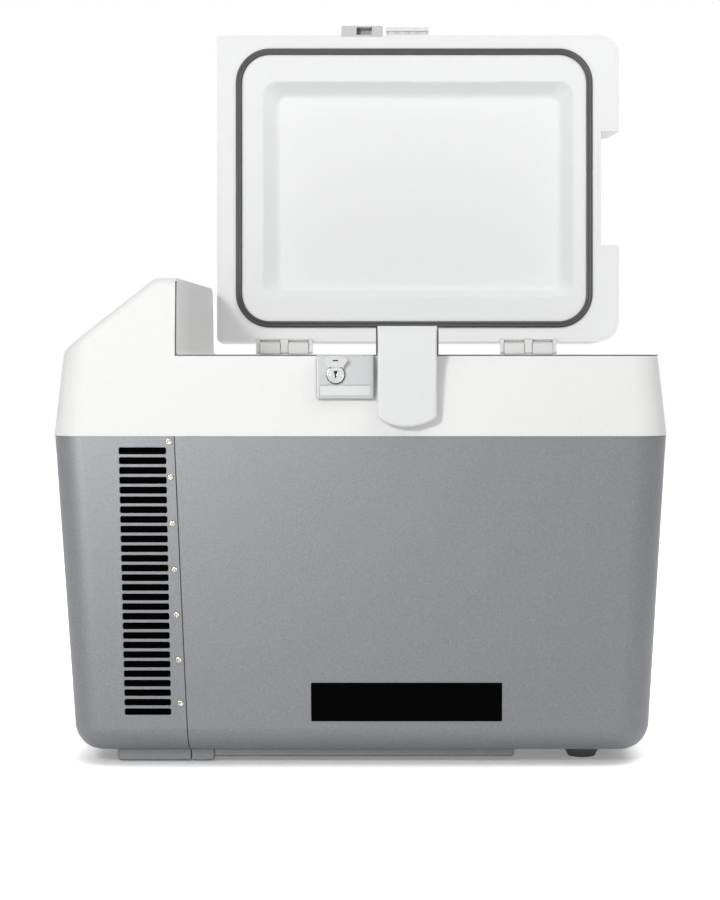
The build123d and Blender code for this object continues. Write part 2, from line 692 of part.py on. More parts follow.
# ---------------------------------------------------------------- control panel
def button_place(i):
    return panel_plane() * Pos((i - 1.5) * BUTTON_PITCH, -PANEL_WIDE / 4 - 1.5, 0)


def make_control_panel():
    """Panel let into the slope, with posts behind it for the board."""
    panel = extrude(panel_plane() * RectangleRounded(PANEL_LONG, PANEL_WIDE, 4), amount=-PANEL_T)
    window = Pos(0, PANEL_WIDE / 4 - 4, 0) * Rectangle(WINDOW_LONG, WINDOW_WIDE)
    panel -= extrude(panel_plane() * window, amount=-0.9)
    for i in range(len(BUTTON_NAMES)):
        panel -= button_place(i) * Cylinder(BUTTON_R + 0.2, 4 * PANEL_T)
    for x in (-1, 1):
        for y in (-1, 1):
            place = Pos(x * (PANEL_LONG / 2 - 8.5), y * (PANEL_WIDE / 2 - 8.5), -PANEL_T - BOARD_DROP / 2)
            panel += panel_plane() * place * Cylinder(2, BOARD_DROP)
    return panel


def make_display_window():
    window = Pos(0, PANEL_WIDE / 4 - 4, 0) * Rectangle(WINDOW_LONG, WINDOW_WIDE)
    return extrude(panel_plane() * window, amount=-0.9)


def make_button(i):
    """Round key cap with a flange that holds it behind the panel, and its stem."""
    cap = Pos(0, 0, (BUTTON_PROUD - PANEL_T) / 2) * Cylinder(BUTTON_R, PANEL_T + BUTTON_PROUD)
    cap = fillet(cap.edges().group_by(Axis.Z)[-1], 0.4)
    flange = Pos(0, 0, -PANEL_T - 0.5) * Cylinder(BUTTON_R + 1.2, 0.9)
    low = -PANEL_T - BOARD_DROP + SWITCH_H + BUTTON_TRAVEL + 0.2
    stem = Pos(0, 0, (low - PANEL_T) / 2) * Cylinder(1.8, -PANEL_T - low)
    return button_place(i) * (cap + flange + stem)


def make_display_board():
    """Circuit board behind the panel, with a switch under each key."""
    top = -PANEL_T - BOARD_DROP
    long, wide = PANEL_LONG - 2 * PANEL_LEDGE - 2, PANEL_WIDE - 2 * PANEL_LEDGE - 2
    board = Pos(0, 0, top - 0.8) * Box(long, wide, 1.6)
    board = panel_plane() * board
    for i in range(len(BUTTON_NAMES)):
        board += button_place(i) * Pos(0, 0, top + SWITCH_H / 2) * Box(6, 6, SWITCH_H)
    return board


BOARD_DROP = 7.0
SWITCH_H = 3.0

# ---------------------------------------------------------------- power inlets
# name: (height, y, width along Y, height, pin spacing)
INLETS = {
    "ac_inlet": (92.0, BELT_BACK_Y - 117.5, 25.0, 17.0, 8.6),
    "dc_inlet": (92.0, BELT_BACK_Y - 77.5, 22.0, 16.0, 9.0),
}
INLET_DEPTH = 18.0
INLET_RECESS = 12.0
INLET_RIM = 2.0
INLET_FLANGE = 3.0
INLET_FLANGE_T = 1.8


def inlet_place(inlet):
    """A frame on the cover's left wall whose z points out of the inlet."""
    z, y = INLETS[inlet][:2]
    lean = math.atan(LOWER_DRAFT_X)
    return Plane(origin=(-lower_half_width(z), y, z), x_dir=(0, -1, 0),
                 z_dir=(-math.cos(lean), 0, -math.sin(lean)))


def inlet_body(inlet, grow=0.0):
    width, height = INLETS[inlet][2:4]
    outline = RectangleRounded(width + 2 * grow, height + 2 * grow, 2.5)
    return extrude(inlet_place(inlet) * outline, amount=-INLET_DEPTH)


def make_inlet(inlet):
    """Flanged two-pin inlet with a recessed mouth."""
    width, height = INLETS[inlet][2:4]
    flange = RectangleRounded(width + 2 * INLET_FLANGE, height + 2 * INLET_FLANGE, 3)
    mouth = RectangleRounded(width - 2 * INLET_RIM, height - 2 * INLET_RIM, 2)
    body = inlet_body(inlet) + extrude(inlet_place(inlet) * flange, amount=INLET_FLANGE_T)
    return body - extrude(inlet_place(inlet) * Pos(0, 0, INLET_FLANGE_T) * mouth,
                          amount=-INLET_RECESS - INLET_FLANGE_T)


def make_inlet_pins():
    pins = []
    for inlet, (_, _, _, _, spacing) in INLETS.items():
        for side in (-1, 1):
            place = Pos(side * spacing / 2, 0, -INLET_RECESS + 4)
            pins.append(inlet_place(inlet) * place * Cylinder(1.2, 8))
    return group(pins)


# ---------------------------------------------------------------- cooling unit
def make_base_plate():
    """Steel plate that carries the compressor over the port in the cover's floor."""
    low = BODY_Z + COVER_WALL
    return block(PLATE_LEFT_X, PLATE_RIGHT_X, -PLATE_HALF_Y, PLATE_HALF_Y, low, low + BASE_PLATE_T)


def grommet_places():
    return [(COMPRESSOR_X + dx, COMPRESSOR_MID_Y + dy) for dx in (-19, 19) for dy in (-52, 52)]


def make_grommets():
    low = BASE_TOP_Z
    return group([rod_z(GROMMET_R, x, y, low, low + GROMMET_H) for x, y in grommet_places()])


def compressor_z():
    return BASE_TOP_Z + GROMMET_H + 2.5 + COMPRESSOR_R + 3


def make_compressor():
    """Horizontal hermetic compressor: domed can, seam flange, saddle feet, terminal box and stubs."""
    half = COMPRESSOR_LENGTH / 2
    can = Rot(90, 0, 0) * Cylinder(COMPRESSOR_R, COMPRESSOR_LENGTH)
    can = fillet(can.edges().filter_by(GeomType.CIRCLE), COMPRESSOR_R * 0.45)
    can += Rot(90, 0, 0) * Cylinder(COMPRESSOR_R + 2.5, 5)
    can = Pos(COMPRESSOR_X, COMPRESSOR_MID_Y, compressor_z()) * can
    foot_z = BASE_TOP_Z + GROMMET_H
    for dy in (-52, 52):
        y = COMPRESSOR_MID_Y + dy
        can += block(COMPRESSOR_X - 27, COMPRESSOR_X + 27, y - 9, y + 9, foot_z, foot_z + 2.5)
        can += block(COMPRESSOR_X - 16, COMPRESSOR_X + 16, y - 6, y + 6,
                     foot_z, compressor_z() - COMPRESSOR_R + 8)
    end = COMPRESSOR_MID_Y + half
    can += block(COMPRESSOR_X - 17, COMPRESSOR_X + 17, end - 4, end + 14,
                 compressor_z() - 14, compressor_z() + 14)
    return can


def make_fan_frame():
    """Square fan frame with a round duct, four spokes and the motor's seat at its back."""
    y0, y1 = FAN_FRONT_Y, FAN_FRONT_Y + FAN_DEPTH
    half = FAN_SIZE / 2
    frame = block(FAN_X - half, FAN_X + half, y0, y1, FAN_Z - half, FAN_Z + half)
    frame = fillet(frame.edges().filter_by(Axis.Y), 5)
    frame -= rod_y(FAN_BORE_R, FAN_X, y0 - 1, y1 + 1, FAN_Z)
    spoke = block(FAN_X - FAN_BORE_R - 1, FAN_X + FAN_BORE_R + 1, y1 - 3, y1, FAN_Z - 1.5, FAN_Z + 1.5)
    for angle in (45, 135):
        frame += spoke.rotate(Axis((FAN_X, 0, FAN_Z), (0, 1, 0)), angle)
    seat = rod_y(HUB_R, FAN_X, y1 - 4, y1, FAN_Z) + rod_y(4, FAN_X, y1 - 14, y1, FAN_Z)
    frame += seat
    return frame - rod_y(1.5 + RUN_GAP, FAN_X, y1 - 15, y1 - 3, FAN_Z)


def make_fan_rotor():
    """Cup-shaped hub with pitched blades and its shaft."""
    y0, y1 = FAN_FRONT_Y + 2, FAN_FRONT_Y + FAN_DEPTH - 5
    hub = rod_y(HUB_R - 0.5, FAN_X, y0, y1, FAN_Z)
    hub -= rod_y(HUB_R - 2.5, FAN_X, y0 + 2, y1 + 1, FAN_Z)
    rotor = hub + rod_y(1.5, FAN_X, y0, FAN_FRONT_Y + FAN_DEPTH - 4, FAN_Z)
    duct = rod_y(ROTOR_R, FAN_X, y0, y1, FAN_Z) - rod_y(HUB_R - 1.5, FAN_X, y0 - 1, y1 + 1, FAN_Z)
    blade = Box(2, 30, 24)
    blade = Rot(0, 0, 38) * blade
    blade = Pos(FAN_X, (y0 + y1) / 2, FAN_Z + (ROTOR_R + HUB_R) / 2) * blade
    blade &= duct & block(-REACH, REACH, y0 + 1, y1 - 1, 0, REACH)
    for i in range(BLADE_COUNT):
        rotor += blade.rotate(Axis((FAN_X, 0, FAN_Z), (0, 1, 0)), i * 360 / BLADE_COUNT)
    return rotor


def make_condenser():
    """Finned block behind the front louvres: stacked fins, end plates and tubes."""
    x0, x1 = FAN_X - CONDENSER_W / 2, FAN_X + CONDENSER_W / 2
    y1 = FAN_FRONT_Y - 1.5
    y0 = y1 - CONDENSER_DEPTH
    low = FAN_Z - CONDENSER_H / 2
    pitch = CONDENSER_H / (FIN_COUNT - 1)
    core = [block(x0, x1, y0, y1, low + i * pitch - 0.4, low + i * pitch + 0.4) for i in range(FIN_COUNT)]
    tubes = [rod_z(3, FAN_X + dx, (y0 + y1) / 2, low - 0.4, low + CONDENSER_H + 0.4)
             for dx in (-24, -8, 8, 24)]
    sides = [block(x, x + 1, y0, y1, low - 0.4, low + CONDENSER_H + 0.4) for x in (x0, x1 - 1)]
    whole = core[0]
    for piece in core[1:] + tubes + sides:
        whole += piece
    return whole


def make_fan_shroud():
    """Folded steel bracket on the base plate that holds the condenser and the fan."""
    half = CONDENSER_W / 2
    y0, y1 = FAN_FRONT_Y - 1.5, FAN_FRONT_Y
    waist, top = 3 * OVERRUN, FAN_Z + CONDENSER_H / 2 + 4
    shroud = block(FAN_X - half, FAN_X + half, y0, y1, waist, top)
    shroud -= rod_y(FAN_BORE_R - 4, FAN_X, y0 - 1, y1 + 1, FAN_Z)
    leg_x0, leg_x1 = PLATE_LEFT_X + 3, PLATE_RIGHT_X - 8
    shroud += block(leg_x0, leg_x1, y0, y1, BASE_TOP_Z, waist)
    return shroud + block(leg_x0, leg_x1, y0, y1 + 28, BASE_TOP_Z, BASE_TOP_Z + 1.5)


def make_control_module():
    """Electronic drive unit for the compressor, bolted to the bulkhead."""
    x1 = seam_x(BELT_Z) - FLANGE_W
    x0 = x1 - DRIVE_T
    y1 = BELT_BACK_Y - DRIVE_FROM_BACK
    y0 = y1 - DRIVE_LENGTH
    box = block(x0, x1 + OVERRUN, y0, y1, DRIVE_LOW_Z, DRIVE_HIGH_Z) & left_of_seam(-FLANGE_W)
    pitch = (DRIVE_LENGTH - DRIVE_FIN) / DRIVE_GROOVES
    for i in range(DRIVE_GROOVES):
        y = y0 + DRIVE_FIN + i * pitch
        box -= block(x0 - 1, x0 + DRIVE_FIN_H, y, y + pitch - DRIVE_FIN, DRIVE_LOW_Z - 1, DRIVE_HIGH_Z + 1)
    return box


def make_drier():
    """Copper filter drier standing beside the compressor."""
    x, y = PLATE_LEFT_X + 0.5, PLATE_HALF_Y - DRIER_FROM_PLATE
    body = rod_z(DRIER_R, x, y, DRIER_LOW_Z, DRIER_HIGH_Z)
    body = fillet(body.edges(), DRIER_R - 4)
    return body + rod_z(3, x, y, BASE_TOP_Z, DRIER_HIGH_Z + 25)


# ---------------------------------------------------------------- hinges
def hinge_block_spans(mid):
    """The X ranges of a hinge's two body blocks."""
    gap = HINGE_EAR_W / 2 + FIT
    return [(mid - gap - HINGE_BLOCK_W, mid - gap), (mid + gap, mid + gap + HINGE_BLOCK_W)]


def hinge_ear_spans(mid):
    """The X ranges of a hinge's three lid ears."""
    outer = HINGE_EAR_W / 2 + 2 * FIT + HINGE_BLOCK_W
    half = HINGE_WIDTH / 2
    inner = HINGE_EAR_W / 2
    return [(mid - half, mid - outer), (mid - inner, mid + inner), (mid + outer, mid + half)]


def make_hinge_blocks():
    """Body halves: blocks on the deck's back edge with a leaf down the back wall."""
    back = HINGE_Y + HINGE_BLOCK_BACK
    top = HINGE_Z + HINGE_BLOCK_R
    leaf_low = DECK_Z - HINGE_LEAF_DROP
    leaf_y = upper_half_depth(DECK_Z - 7) + HINGE_LEAF_T
    leaf_low_y = upper_half_depth(leaf_low) + HINGE_LEAF_T
    outline = [(HINGE_Y, DECK_Z), (HINGE_Y, top), (back, top), (back, DECK_Z - 3), (leaf_y, DECK_Z - 7),
               (leaf_low_y, leaf_low), (leaf_low_y - 3 * HINGE_LEAF_T, leaf_low), (HINGE_Y - 12, DECK_Z)]
    pieces = []
    for mid in HINGE_XS:
        for x0, x1 in hinge_block_spans(mid):
            nose = rod_x(HINGE_BLOCK_R, x0, x1, HINGE_Y, HINGE_Z) & slab(DECK_Z, top)
            nose += block(x0, x1, HINGE_Y - HINGE_BLOCK_R, HINGE_Y, DECK_Z, HINGE_Z)
            body = nose + bar_x(outline, x0, x1)
            rear = body.edges().filter_by(Axis.X).sort_by_distance(((x0 + x1) / 2, back, top))[0]
            body = fillet(rear, 3) - UPPER
            pieces.append(body - rod_x(HINGE_PIN_R + RUN_GAP / 5, x0 - 1, x1 + 1, HINGE_Y, HINGE_Z))
    return group(pieces)


def make_hinge_pins():
    return group([rod_x(HINGE_PIN_R, mid - HINGE_WIDTH / 2, mid + HINGE_WIDTH / 2, HINGE_Y, HINGE_Z)
                  for mid in HINGE_XS])


def make_lid_leaf(mid):
    """Lid half of a hinge: a leaf let into the lid's edge with three ears for the pin."""
    low = LID_FACE_Z + LID_LEAF_RISE
    leaf = block(mid - HINGE_WIDTH / 2, mid + HINGE_WIDTH / 2, HINGE_EDGE_Y - LID_LEAF_T, HINGE_EDGE_Y,
                 low, low + LID_LEAF_H)
    ear_low, ear_high = HINGE_Z - HINGE_KNUCKLE_R + 0.2, HINGE_Z + HINGE_KNUCKLE_R
    for x0, x1 in hinge_ear_spans(mid):
        leaf += block(x0, x1, HINGE_EDGE_Y - LID_LEAF_T, HINGE_Y, ear_low, ear_high)
        leaf += rod_x(HINGE_KNUCKLE_R, x0, x1, HINGE_Y, HINGE_Z)
    for x0, x1 in hinge_ear_spans(mid):
        leaf -= rod_x(HINGE_PIN_R + RUN_GAP, x0 - 1, x1 + 1, HINGE_Y, HINGE_Z)
    return leaf


def hinge_screw(place):
    head = Pos(0, 0, 0.6) * Cylinder(2.6, 1.2)
    return place * head


def make_hinge_screws():
    """Screw heads on the leaves behind the deck."""
    z = DECK_Z - HINGE_LEAF_DROP / 2 - 4
    lean = math.degrees(math.atan(UPPER_DRAFT_Y))
    y = upper_half_depth(z) + HINGE_LEAF_T
    spans = [span for mid in HINGE_XS for span in hinge_block_spans(mid)]
    return group([hinge_screw(Pos((x0 + x1) / 2, y, z) * Rot(-90 + lean, 0, 0)) for x0, x1 in spans])


# ---------------------------------------------------------------- lid
def lid_form(inset=0.0):
    """The lid as a solid, closed, run on below its inner face when it is inset."""
    low = LID_FACE_Z - (OVERRUN if inset else 0)
    high = LID_FACE_Z + LID_T
    run = (LID_FACE_Z - low) / LID_T
    right_low = LID_RIGHT_X + LID_TOP_FALL_RIGHT * run
    front_low = FRONT_Y - LID_TOP_FALL * run
    wide = [(LID_LEFT_X, low), (right_low, low), (LID_RIGHT_X - LID_TOP_FALL_RIGHT, high), (LID_LEFT_X, high)]
    deep = [(front_low, low), (HINGE_EDGE_Y, low), (HINGE_EDGE_Y, high), (FRONT_Y + LID_TOP_FALL, high)]
    form = prism(Plane.XZ, wide, inset) & prism(Plane.YZ, deep, inset)
    right = [e for e in upright_edges(form) if e.center().X > 0]
    form = fillet(right, LID_RIGHT_R - inset)
    form = fillet(form.faces().sort_by(Axis.Z)[-1].edges(), LID_TOP_EDGE_R - inset)
    form -= notch(inset)
    left = [e for e in upright_edges(form) if e.center().X < 0]
    return fillet(left, max(LID_LEFT_R - inset, 1.0))


def notch(grow=0.0):
    """The hand notch in the lid's right edge."""
    far = HINGE_EDGE_Y - NOTCH_FROM_HINGE
    return block(LID_RIGHT_X - NOTCH_DEPTH - grow, REACH, far - NOTCH_LENGTH - grow, far + grow,
                 LID_FACE_Z - 2 * OVERRUN, LID_FACE_Z + LID_T + OVERRUN)


LID = lid_form()
LID_IN = lid_form(LID_WALL)


def level_edges(solid, z):
    """The edges that lie level at height z."""
    return [e for e in solid.edges() if all(abs(p.Z - z) < 0.02 for p in (e @ 0, e @ 0.5, e @ 1))]


def dish(grow):
    """The recess in the lid's inner face, grown by an amount."""
    front = HINGE_EDGE_Y - DISH_FAR
    back = HINGE_EDGE_Y - DISH_FROM_HINGE
    low = LID_FACE_Z - (0 if grow else 0.01)
    high = LID_FACE_Z + DISH_DEPTH + grow
    mouth = plan(DISH_LEFT_X - grow, DISH_RIGHT_X + grow, front - grow, back + grow, low, DISH_R + grow)
    floor = plan(DISH_LEFT_X + DISH_SIDE_RUN - grow, DISH_RIGHT_X - DISH_SIDE_RUN + grow,
                 front + DISH_FRONT_RUN - grow, back - DISH_HINGE_RUN + grow, high, DISH_R + grow)
    form = loft([mouth, floor])
    return fillet(level_edges(form, high), DISH_FLOOR_R + grow)


def gasket_ring(width, low, high):
    """A ring on the gasket's centre line."""
    mid = GASKET_W / 2
    ring = None
    for grow in (width / 2 - mid, -width / 2 - mid):
        shape = plan(GASKET_LEFT_X - grow, GASKET_RIGHT_X + grow, HINGE_EDGE_Y - GASKET_FAR - grow,
                     HINGE_EDGE_Y - GASKET_FROM_HINGE + grow, low, GASKET_R + grow)
        ring = shape if ring is None else ring - shape
    return extrude(ring, amount=high - low)


def leaf_pocket(grow=0.0):
    """The two rebates in the lid's hinge edge for the leaves, grown by an amount."""
    half = HINGE_WIDTH / 2 + grow
    y0 = HINGE_EDGE_Y - LID_LEAF_T - grow
    z1 = LID_FACE_Z + LID_LEAF_RISE + LID_LEAF_H + grow
    left, right = [block(mid - half, mid + half, y0, HINGE_EDGE_Y + OVERRUN, LID_FACE_Z - OVERRUN, z1)
                   for mid in HINGE_XS]
    return left + right


def strike_flange(grow=0.0):
    """The rebate in the lid's front edge for the strike's flange, grown by an amount."""
    return block(STRIKE_LEFT_X - grow, STRIKE_RIGHT_X + grow, FRONT_Y - OVERRUN, FRONT_Y + STRIKE_T + grow,
                 LID_FACE_Z - grow, LID_FACE_Z + STRIKE_FLANGE_H + grow)


def make_lid_shell():
    """Outer lid moulding."""
    shell = LID - LID_IN
    shell -= leaf_pocket(0.05)
    shell -= strike_flange(0.05)
    return shell


def lid_inside():
    """The room inside the lid shell."""
    return LID_IN & slab(LID_FACE_Z, LID_FACE_Z + 2 * LID_T)


def make_lid_panel():
    """Inner face of the lid: plate, dished recess, and the channel for the gasket's foot."""
    plate = lid_inside() & slab(LID_FACE_Z, LID_FACE_Z + LID_PANEL_T)
    channel = gasket_ring(GASKET_FOOT_W + 2 * LID_PANEL_T, LID_FACE_Z,
                          LID_FACE_Z + GASKET_FOOT_H + LID_PANEL_T)
    panel = plate + channel + dish(LID_PANEL_T)
    panel -= dish(0)
    panel -= gasket_ring(GASKET_FOOT_W, LID_FACE_Z - 1, LID_FACE_Z + GASKET_FOOT_H)
    panel -= leaf_pocket(0.05)
    low_y, high_y = HINGE_EDGE_Y - DISH_FAR - 1, HINGE_EDGE_Y - DISH_FROM_HINGE + 1
    mouth = [e for e in level_edges(panel, LID_FACE_Z)
             if DISH_LEFT_X - 1 < e.center().X < DISH_RIGHT_X + 1 and low_y < e.center().Y < high_y]
    return fillet(mouth, DISH_MOUTH_R)


def make_lid_foam():
    body = lid_inside() - slab(LID_FACE_Z - 1, LID_FACE_Z + LID_PANEL_T)
    body -= gasket_ring(GASKET_FOOT_W + 2 * LID_PANEL_T, LID_FACE_Z, LID_FACE_Z + GASKET_FOOT_H + LID_PANEL_T)
    return body - dish(LID_PANEL_T) - leaf_pocket(0.05)


def make_lid_gasket():
    """Soft seal round the lid's inner face: two lips and a foot."""
    lips = gasket_ring(GASKET_W, LID_FACE_Z - GASKET_PROUD, LID_FACE_Z)
    lips -= gasket_ring(1.4, LID_FACE_Z - GASKET_PROUD, LID_FACE_Z - GASKET_PROUD + 1.2)
    return lips + gasket_ring(GASKET_FOOT_W, LID_FACE_Z, LID_FACE_Z + GASKET_FOOT_H)


def make_strike():
    """Bent steel strike: a tongue with a square hole, a keeper box behind it, and a flange."""
    low = LID_FACE_Z
    tongue = block(STRIKE_LEFT_X, STRIKE_RIGHT_X, FRONT_Y - STRIKE_PROUD, FRONT_Y, low, low + STRIKE_T)
    tongue = fillet(tongue.edges().filter_by(Axis.Z).group_by(Axis.Y)[0], 2)
    strike = tongue + block(STRIKE_LEFT_X, STRIKE_RIGHT_X, FRONT_Y, FRONT_Y + STRIKE_T,
                            low, low + STRIKE_FLANGE_H)
    keeper_left = STRIKE_LEFT_X + KEEPER_WALL
    keeper_right = STRIKE_HOLE_LEFT_X + STRIKE_HOLE_W + 2 * KEEPER_WALL
    keeper_front = FRONT_Y - STRIKE_PROUD + 0.4
    keeper = block(keeper_left, keeper_right, keeper_front, FRONT_Y, low, low + KEEPER_H)
    keeper = fillet(keeper.edges().filter_by(Axis.Z).group_by(Axis.Y)[0], 1.2)
    keeper -= block(keeper_left + KEEPER_WALL, keeper_right - KEEPER_WALL, keeper_front + KEEPER_WALL,
                    FRONT_Y, low + STRIKE_T, low + KEEPER_H - KEEPER_WALL)
    hole = block(STRIKE_HOLE_LEFT_X, STRIKE_HOLE_LEFT_X + STRIKE_HOLE_W, FRONT_Y - HOOK_FRONT - 0.9,
                 FRONT_Y - 0.6, low - 1, low + STRIKE_T)
    return strike + keeper - hole


def make_strike_screws():
    """Screw heads on the strike's flange, one above the other beside the keeper."""
    x = STRIKE_RIGHT_X - 5
    heights = (STRIKE_FLANGE_H * 0.32, STRIKE_FLANGE_H * 0.75)
    return group([hinge_screw(Pos(x, FRONT_Y, LID_FACE_Z + z) * Rot(90, 0, 0)) for z in heights])


def make_catch():
    """Ribbed catch on the lid's front edge that the latch hooks over."""
    y0 = FRONT_Y - CATCH_PROUD
    catch = block(CATCH_LEFT_X, CATCH_RIGHT_X, y0, FRONT_Y, LID_FACE_Z, LID_FACE_Z + CATCH_H)
    catch = fillet(catch.edges().filter_by(Axis.X).group_by(Axis.Y)[0], 1.2)
    cell = (CATCH_RIGHT_X - CATCH_LEFT_X - (CATCH_CELLS + 1) * CATCH_RIB) / CATCH_CELLS
    for i in range(CATCH_CELLS):
        x = CATCH_LEFT_X + CATCH_RIB + i * (cell + CATCH_RIB)
        catch -= block(x, x + cell, y0 + CATCH_BAR, FRONT_Y - 1.2,
                       LID_FACE_Z - 1, LID_FACE_Z + CATCH_CELL_DEPTH)
    top = LID_FACE_Z + CATCH_H
    lean = LID_TOP_FALL / LID_T * CATCH_H
    wedge = [(FRONT_Y - 1, LID_FACE_Z), (FRONT_Y, LID_FACE_Z), (FRONT_Y + lean, top), (FRONT_Y - 1, top)]
    return catch + bar_x(wedge, CATCH_LEFT_X, CATCH_RIGHT_X)


# ---------------------------------------------------------------- lock
def make_lock_housing():
    """Lock box on the front wall: hollow for the hook, with a slot above it and a bare name strip."""
    x0, x1 = LOCK_LEFT_X, LOCK_LEFT_X + LOCK_WIDTH
    low = DECK_Z - LOCK_HEIGHT
    box = block(x0, x1, LOCK_FACE_Y, FRONT_Y + OVERRUN, low, DECK_Z)
    box = fillet(box.edges().filter_by(Axis.Y) + box.edges().filter_by(Axis.Z).group_by(Axis.Y)[0]
                 + box.edges().filter_by(Axis.X).group_by(Axis.Y)[0], LOCK_EDGE_R)
    box -= block(x0 + LOCK_WALL, x1 - LOCK_WALL, LOCK_FACE_Y + LOCK_WALL, REACH,
                 low + LOCK_WALL, DECK_Z - LOCK_WALL)
    outer, inner = HOOK_R + HOOK_W / 2, HOOK_R - HOOK_W / 2
    slot_right = outer * math.cos(math.asin((PLUG_DROP - LOCK_WALL) / outer)) + HOOK_GAP
    slot_left = inner * math.cos(math.asin(PLUG_DROP / inner)) - HOOK_ARM_W / 2 - HOOK_GAP / 2
    slot_front = FRONT_Y - HOOK_FRONT - 0.8
    box -= block(PLUG_X + slot_left, PLUG_X + slot_right, slot_front, slot_front + HOOK_T + 1.6,
                 DECK_Z - LOCK_WALL - 1, DECK_Z + 1)
    box -= rod_y(BARREL_R, PLUG_X, LOCK_FACE_Y - 1, LOCK_FACE_Y + 2 * LOCK_WALL, PLUG_Z)
    box -= block(x0 + STRIP_INSET, x1 - STRIP_INSET, LOCK_FACE_Y - 1, LOCK_FACE_Y + STRIP_DEPTH,
                 low + STRIP_INSET - 0.5, low + STRIP_INSET + 9.5)
    return box - UPPER


def make_lock_barrel():
    """Fixed sleeve of the lock with its face flange and the shutter's two ears."""
    back = FRONT_Y - HOOK_FRONT - 0.3
    barrel = rod_y(BARREL_R, PLUG_X, LOCK_FACE_Y, back, PLUG_Z)
    flange = rod_y(BARREL_FLANGE_R, PLUG_X, BARREL_FACE_Y, LOCK_FACE_Y, PLUG_Z)
    flange = fillet(flange.edges().group_by(Axis.Y)[0], 0.6)
    barrel += flange
    for x0, x1 in shutter_ear_spans():
        barrel += rod_x(SHUTTER_KNUCKLE_R, x0, x1, SHUTTER_Y, SHUTTER_Z)
        barrel += block(x0, x1, SHUTTER_Y, BARREL_FACE_Y + 0.5,
                        SHUTTER_Z - SHUTTER_KNUCKLE_R, SHUTTER_Z + SHUTTER_KNUCKLE_R)
    barrel -= rod_x(SHUTTER_PIN_R + RUN_GAP / 5, PLUG_X - 10, PLUG_X + 10, SHUTTER_Y, SHUTTER_Z)
    return barrel - rod_y(PLUG_R + RUN_GAP, PLUG_X, BARREL_FACE_Y - 1, back + 1, PLUG_Z)


def shutter_ear_spans():
    """The X ranges of the two ears that carry the shutter's pin."""
    outer = SHUTTER_ROOT_W / 2 - 0.6
    inner = outer - SHUTTER_EAR_W
    return [(PLUG_X - outer, PLUG_X - inner), (PLUG_X + inner, PLUG_X + outer)]


def make_lock_plug():
    """Turning plug with its keyhole."""
    front = BARREL_FACE_Y - PLUG_PROUD
    plug = rod_y(PLUG_R, PLUG_X, front, FRONT_Y - HOOK_FRONT, PLUG_Z)
    back = front + KEYHOLE_DEPTH
    round_z = PLUG_Z + KEYHOLE_HIGH - KEYHOLE_TOP_R
    slot = block(PLUG_X - KEYHOLE_W / 2, PLUG_X + KEYHOLE_W / 2, front - 1, back,
                 PLUG_Z - KEYHOLE_LOW, round_z)
    slot += rod_y(KEYHOLE_TOP_R, PLUG_X, front - 1, back, round_z)
    return plug - slot


def make_lock_hook():
    """Hooked cam: a hub, an arm, and an arc that rises through the strike."""
    inner, outer = HOOK_R - HOOK_W / 2, HOOK_R + HOOK_W / 2
    front = FRONT_Y - HOOK_FRONT

    def at(radius, angle):
        turn = math.radians(angle)
        return (radius * math.cos(turn), radius * math.sin(turn))

    mid = (HOOK_LOW + HOOK_HIGH) / 2
    band = make_face(Wire([ThreePointArc(at(outer, HOOK_LOW), at(outer, mid), at(outer, HOOK_HIGH)),
                           Line(at(outer, HOOK_HIGH), at(inner, HOOK_HIGH)),
                           ThreePointArc(at(inner, HOOK_HIGH), at(inner, mid), at(inner, HOOK_LOW)),
                           Line(at(inner, HOOK_LOW), at(outer, HOOK_LOW))]))
    arm_angle = HOOK_LOW + math.degrees(HOOK_ARM_W / 2 / HOOK_R)
    arm = Rot(0, 0, arm_angle) * Pos(HOOK_R / 2, 0) * Rectangle(HOOK_R, HOOK_ARM_W)
    shape = Circle(7) + arm + band
    place = Plane(origin=(PLUG_X, front, PLUG_Z), x_dir=(1, 0, 0), z_dir=(0, -1, 0))
    return extrude(place * shape, amount=-HOOK_T)


def make_lock_shutter():
    """Fan-shaped keyhole shutter, drawn closed and swung up open."""
    root, tip = SHUTTER_ROOT_W / 2, SHUTTER_TIP_W / 2
    crown = SHUTTER_LENGTH
    lobe, shoulder = -0.62 * crown, -0.86 * crown
    right = [ThreePointArc((root, 0), (root + 1.1, 0.38 * lobe), (tip - 0.5, lobe + 1.2)),
             ThreePointArc((tip - 0.5, lobe + 1.2), (tip, lobe - 0.6), (tip - 1.8, shoulder))]
    left = [ThreePointArc((-tip + 1.8, shoulder), (-tip, lobe - 0.6), (-tip + 0.5, lobe + 1.2)),
            ThreePointArc((-tip + 0.5, lobe + 1.2), (-root - 1.1, 0.38 * lobe), (-root, 0))]
    top = ThreePointArc((tip - 1.8, shoulder), (0, -crown), (-tip + 1.8, shoulder))
    face = make_face(Wire(right + [top] + left + [Line((-root, 0), (root, 0))]))
    face -= Pos(0, -crown * 0.65) * SlotOverall(5.5, 1.8)
    y = SHUTTER_Y - SHUTTER_KNUCKLE_R
    place = Plane(origin=(PLUG_X, y + SHUTTER_T, SHUTTER_Z), x_dir=(1, 0, 0), z_dir=(0, -1, 0))
    plate = extrude(place * face, amount=SHUTTER_T)
    inner = shutter_ear_spans()[0][1] + 0.15, shutter_ear_spans()[1][0] - 0.15
    for x0, x1 in shutter_ear_spans():
        plate -= block(x0 - 0.15, x1 + 0.15, y - 1, SHUTTER_Y + 3, SHUTTER_Z - 2.2, SHUTTER_Z + 2)
    plate += rod_x(SHUTTER_KNUCKLE_R, inner[0], inner[1], SHUTTER_Y, SHUTTER_Z)
    plate -= rod_x(SHUTTER_PIN_R + RUN_GAP, PLUG_X - 10, PLUG_X + 10, SHUTTER_Y, SHUTTER_Z)
    return plate.rotate(Axis((PLUG_X, SHUTTER_Y, SHUTTER_Z), (1, 0, 0)), -SHUTTER_OPEN)


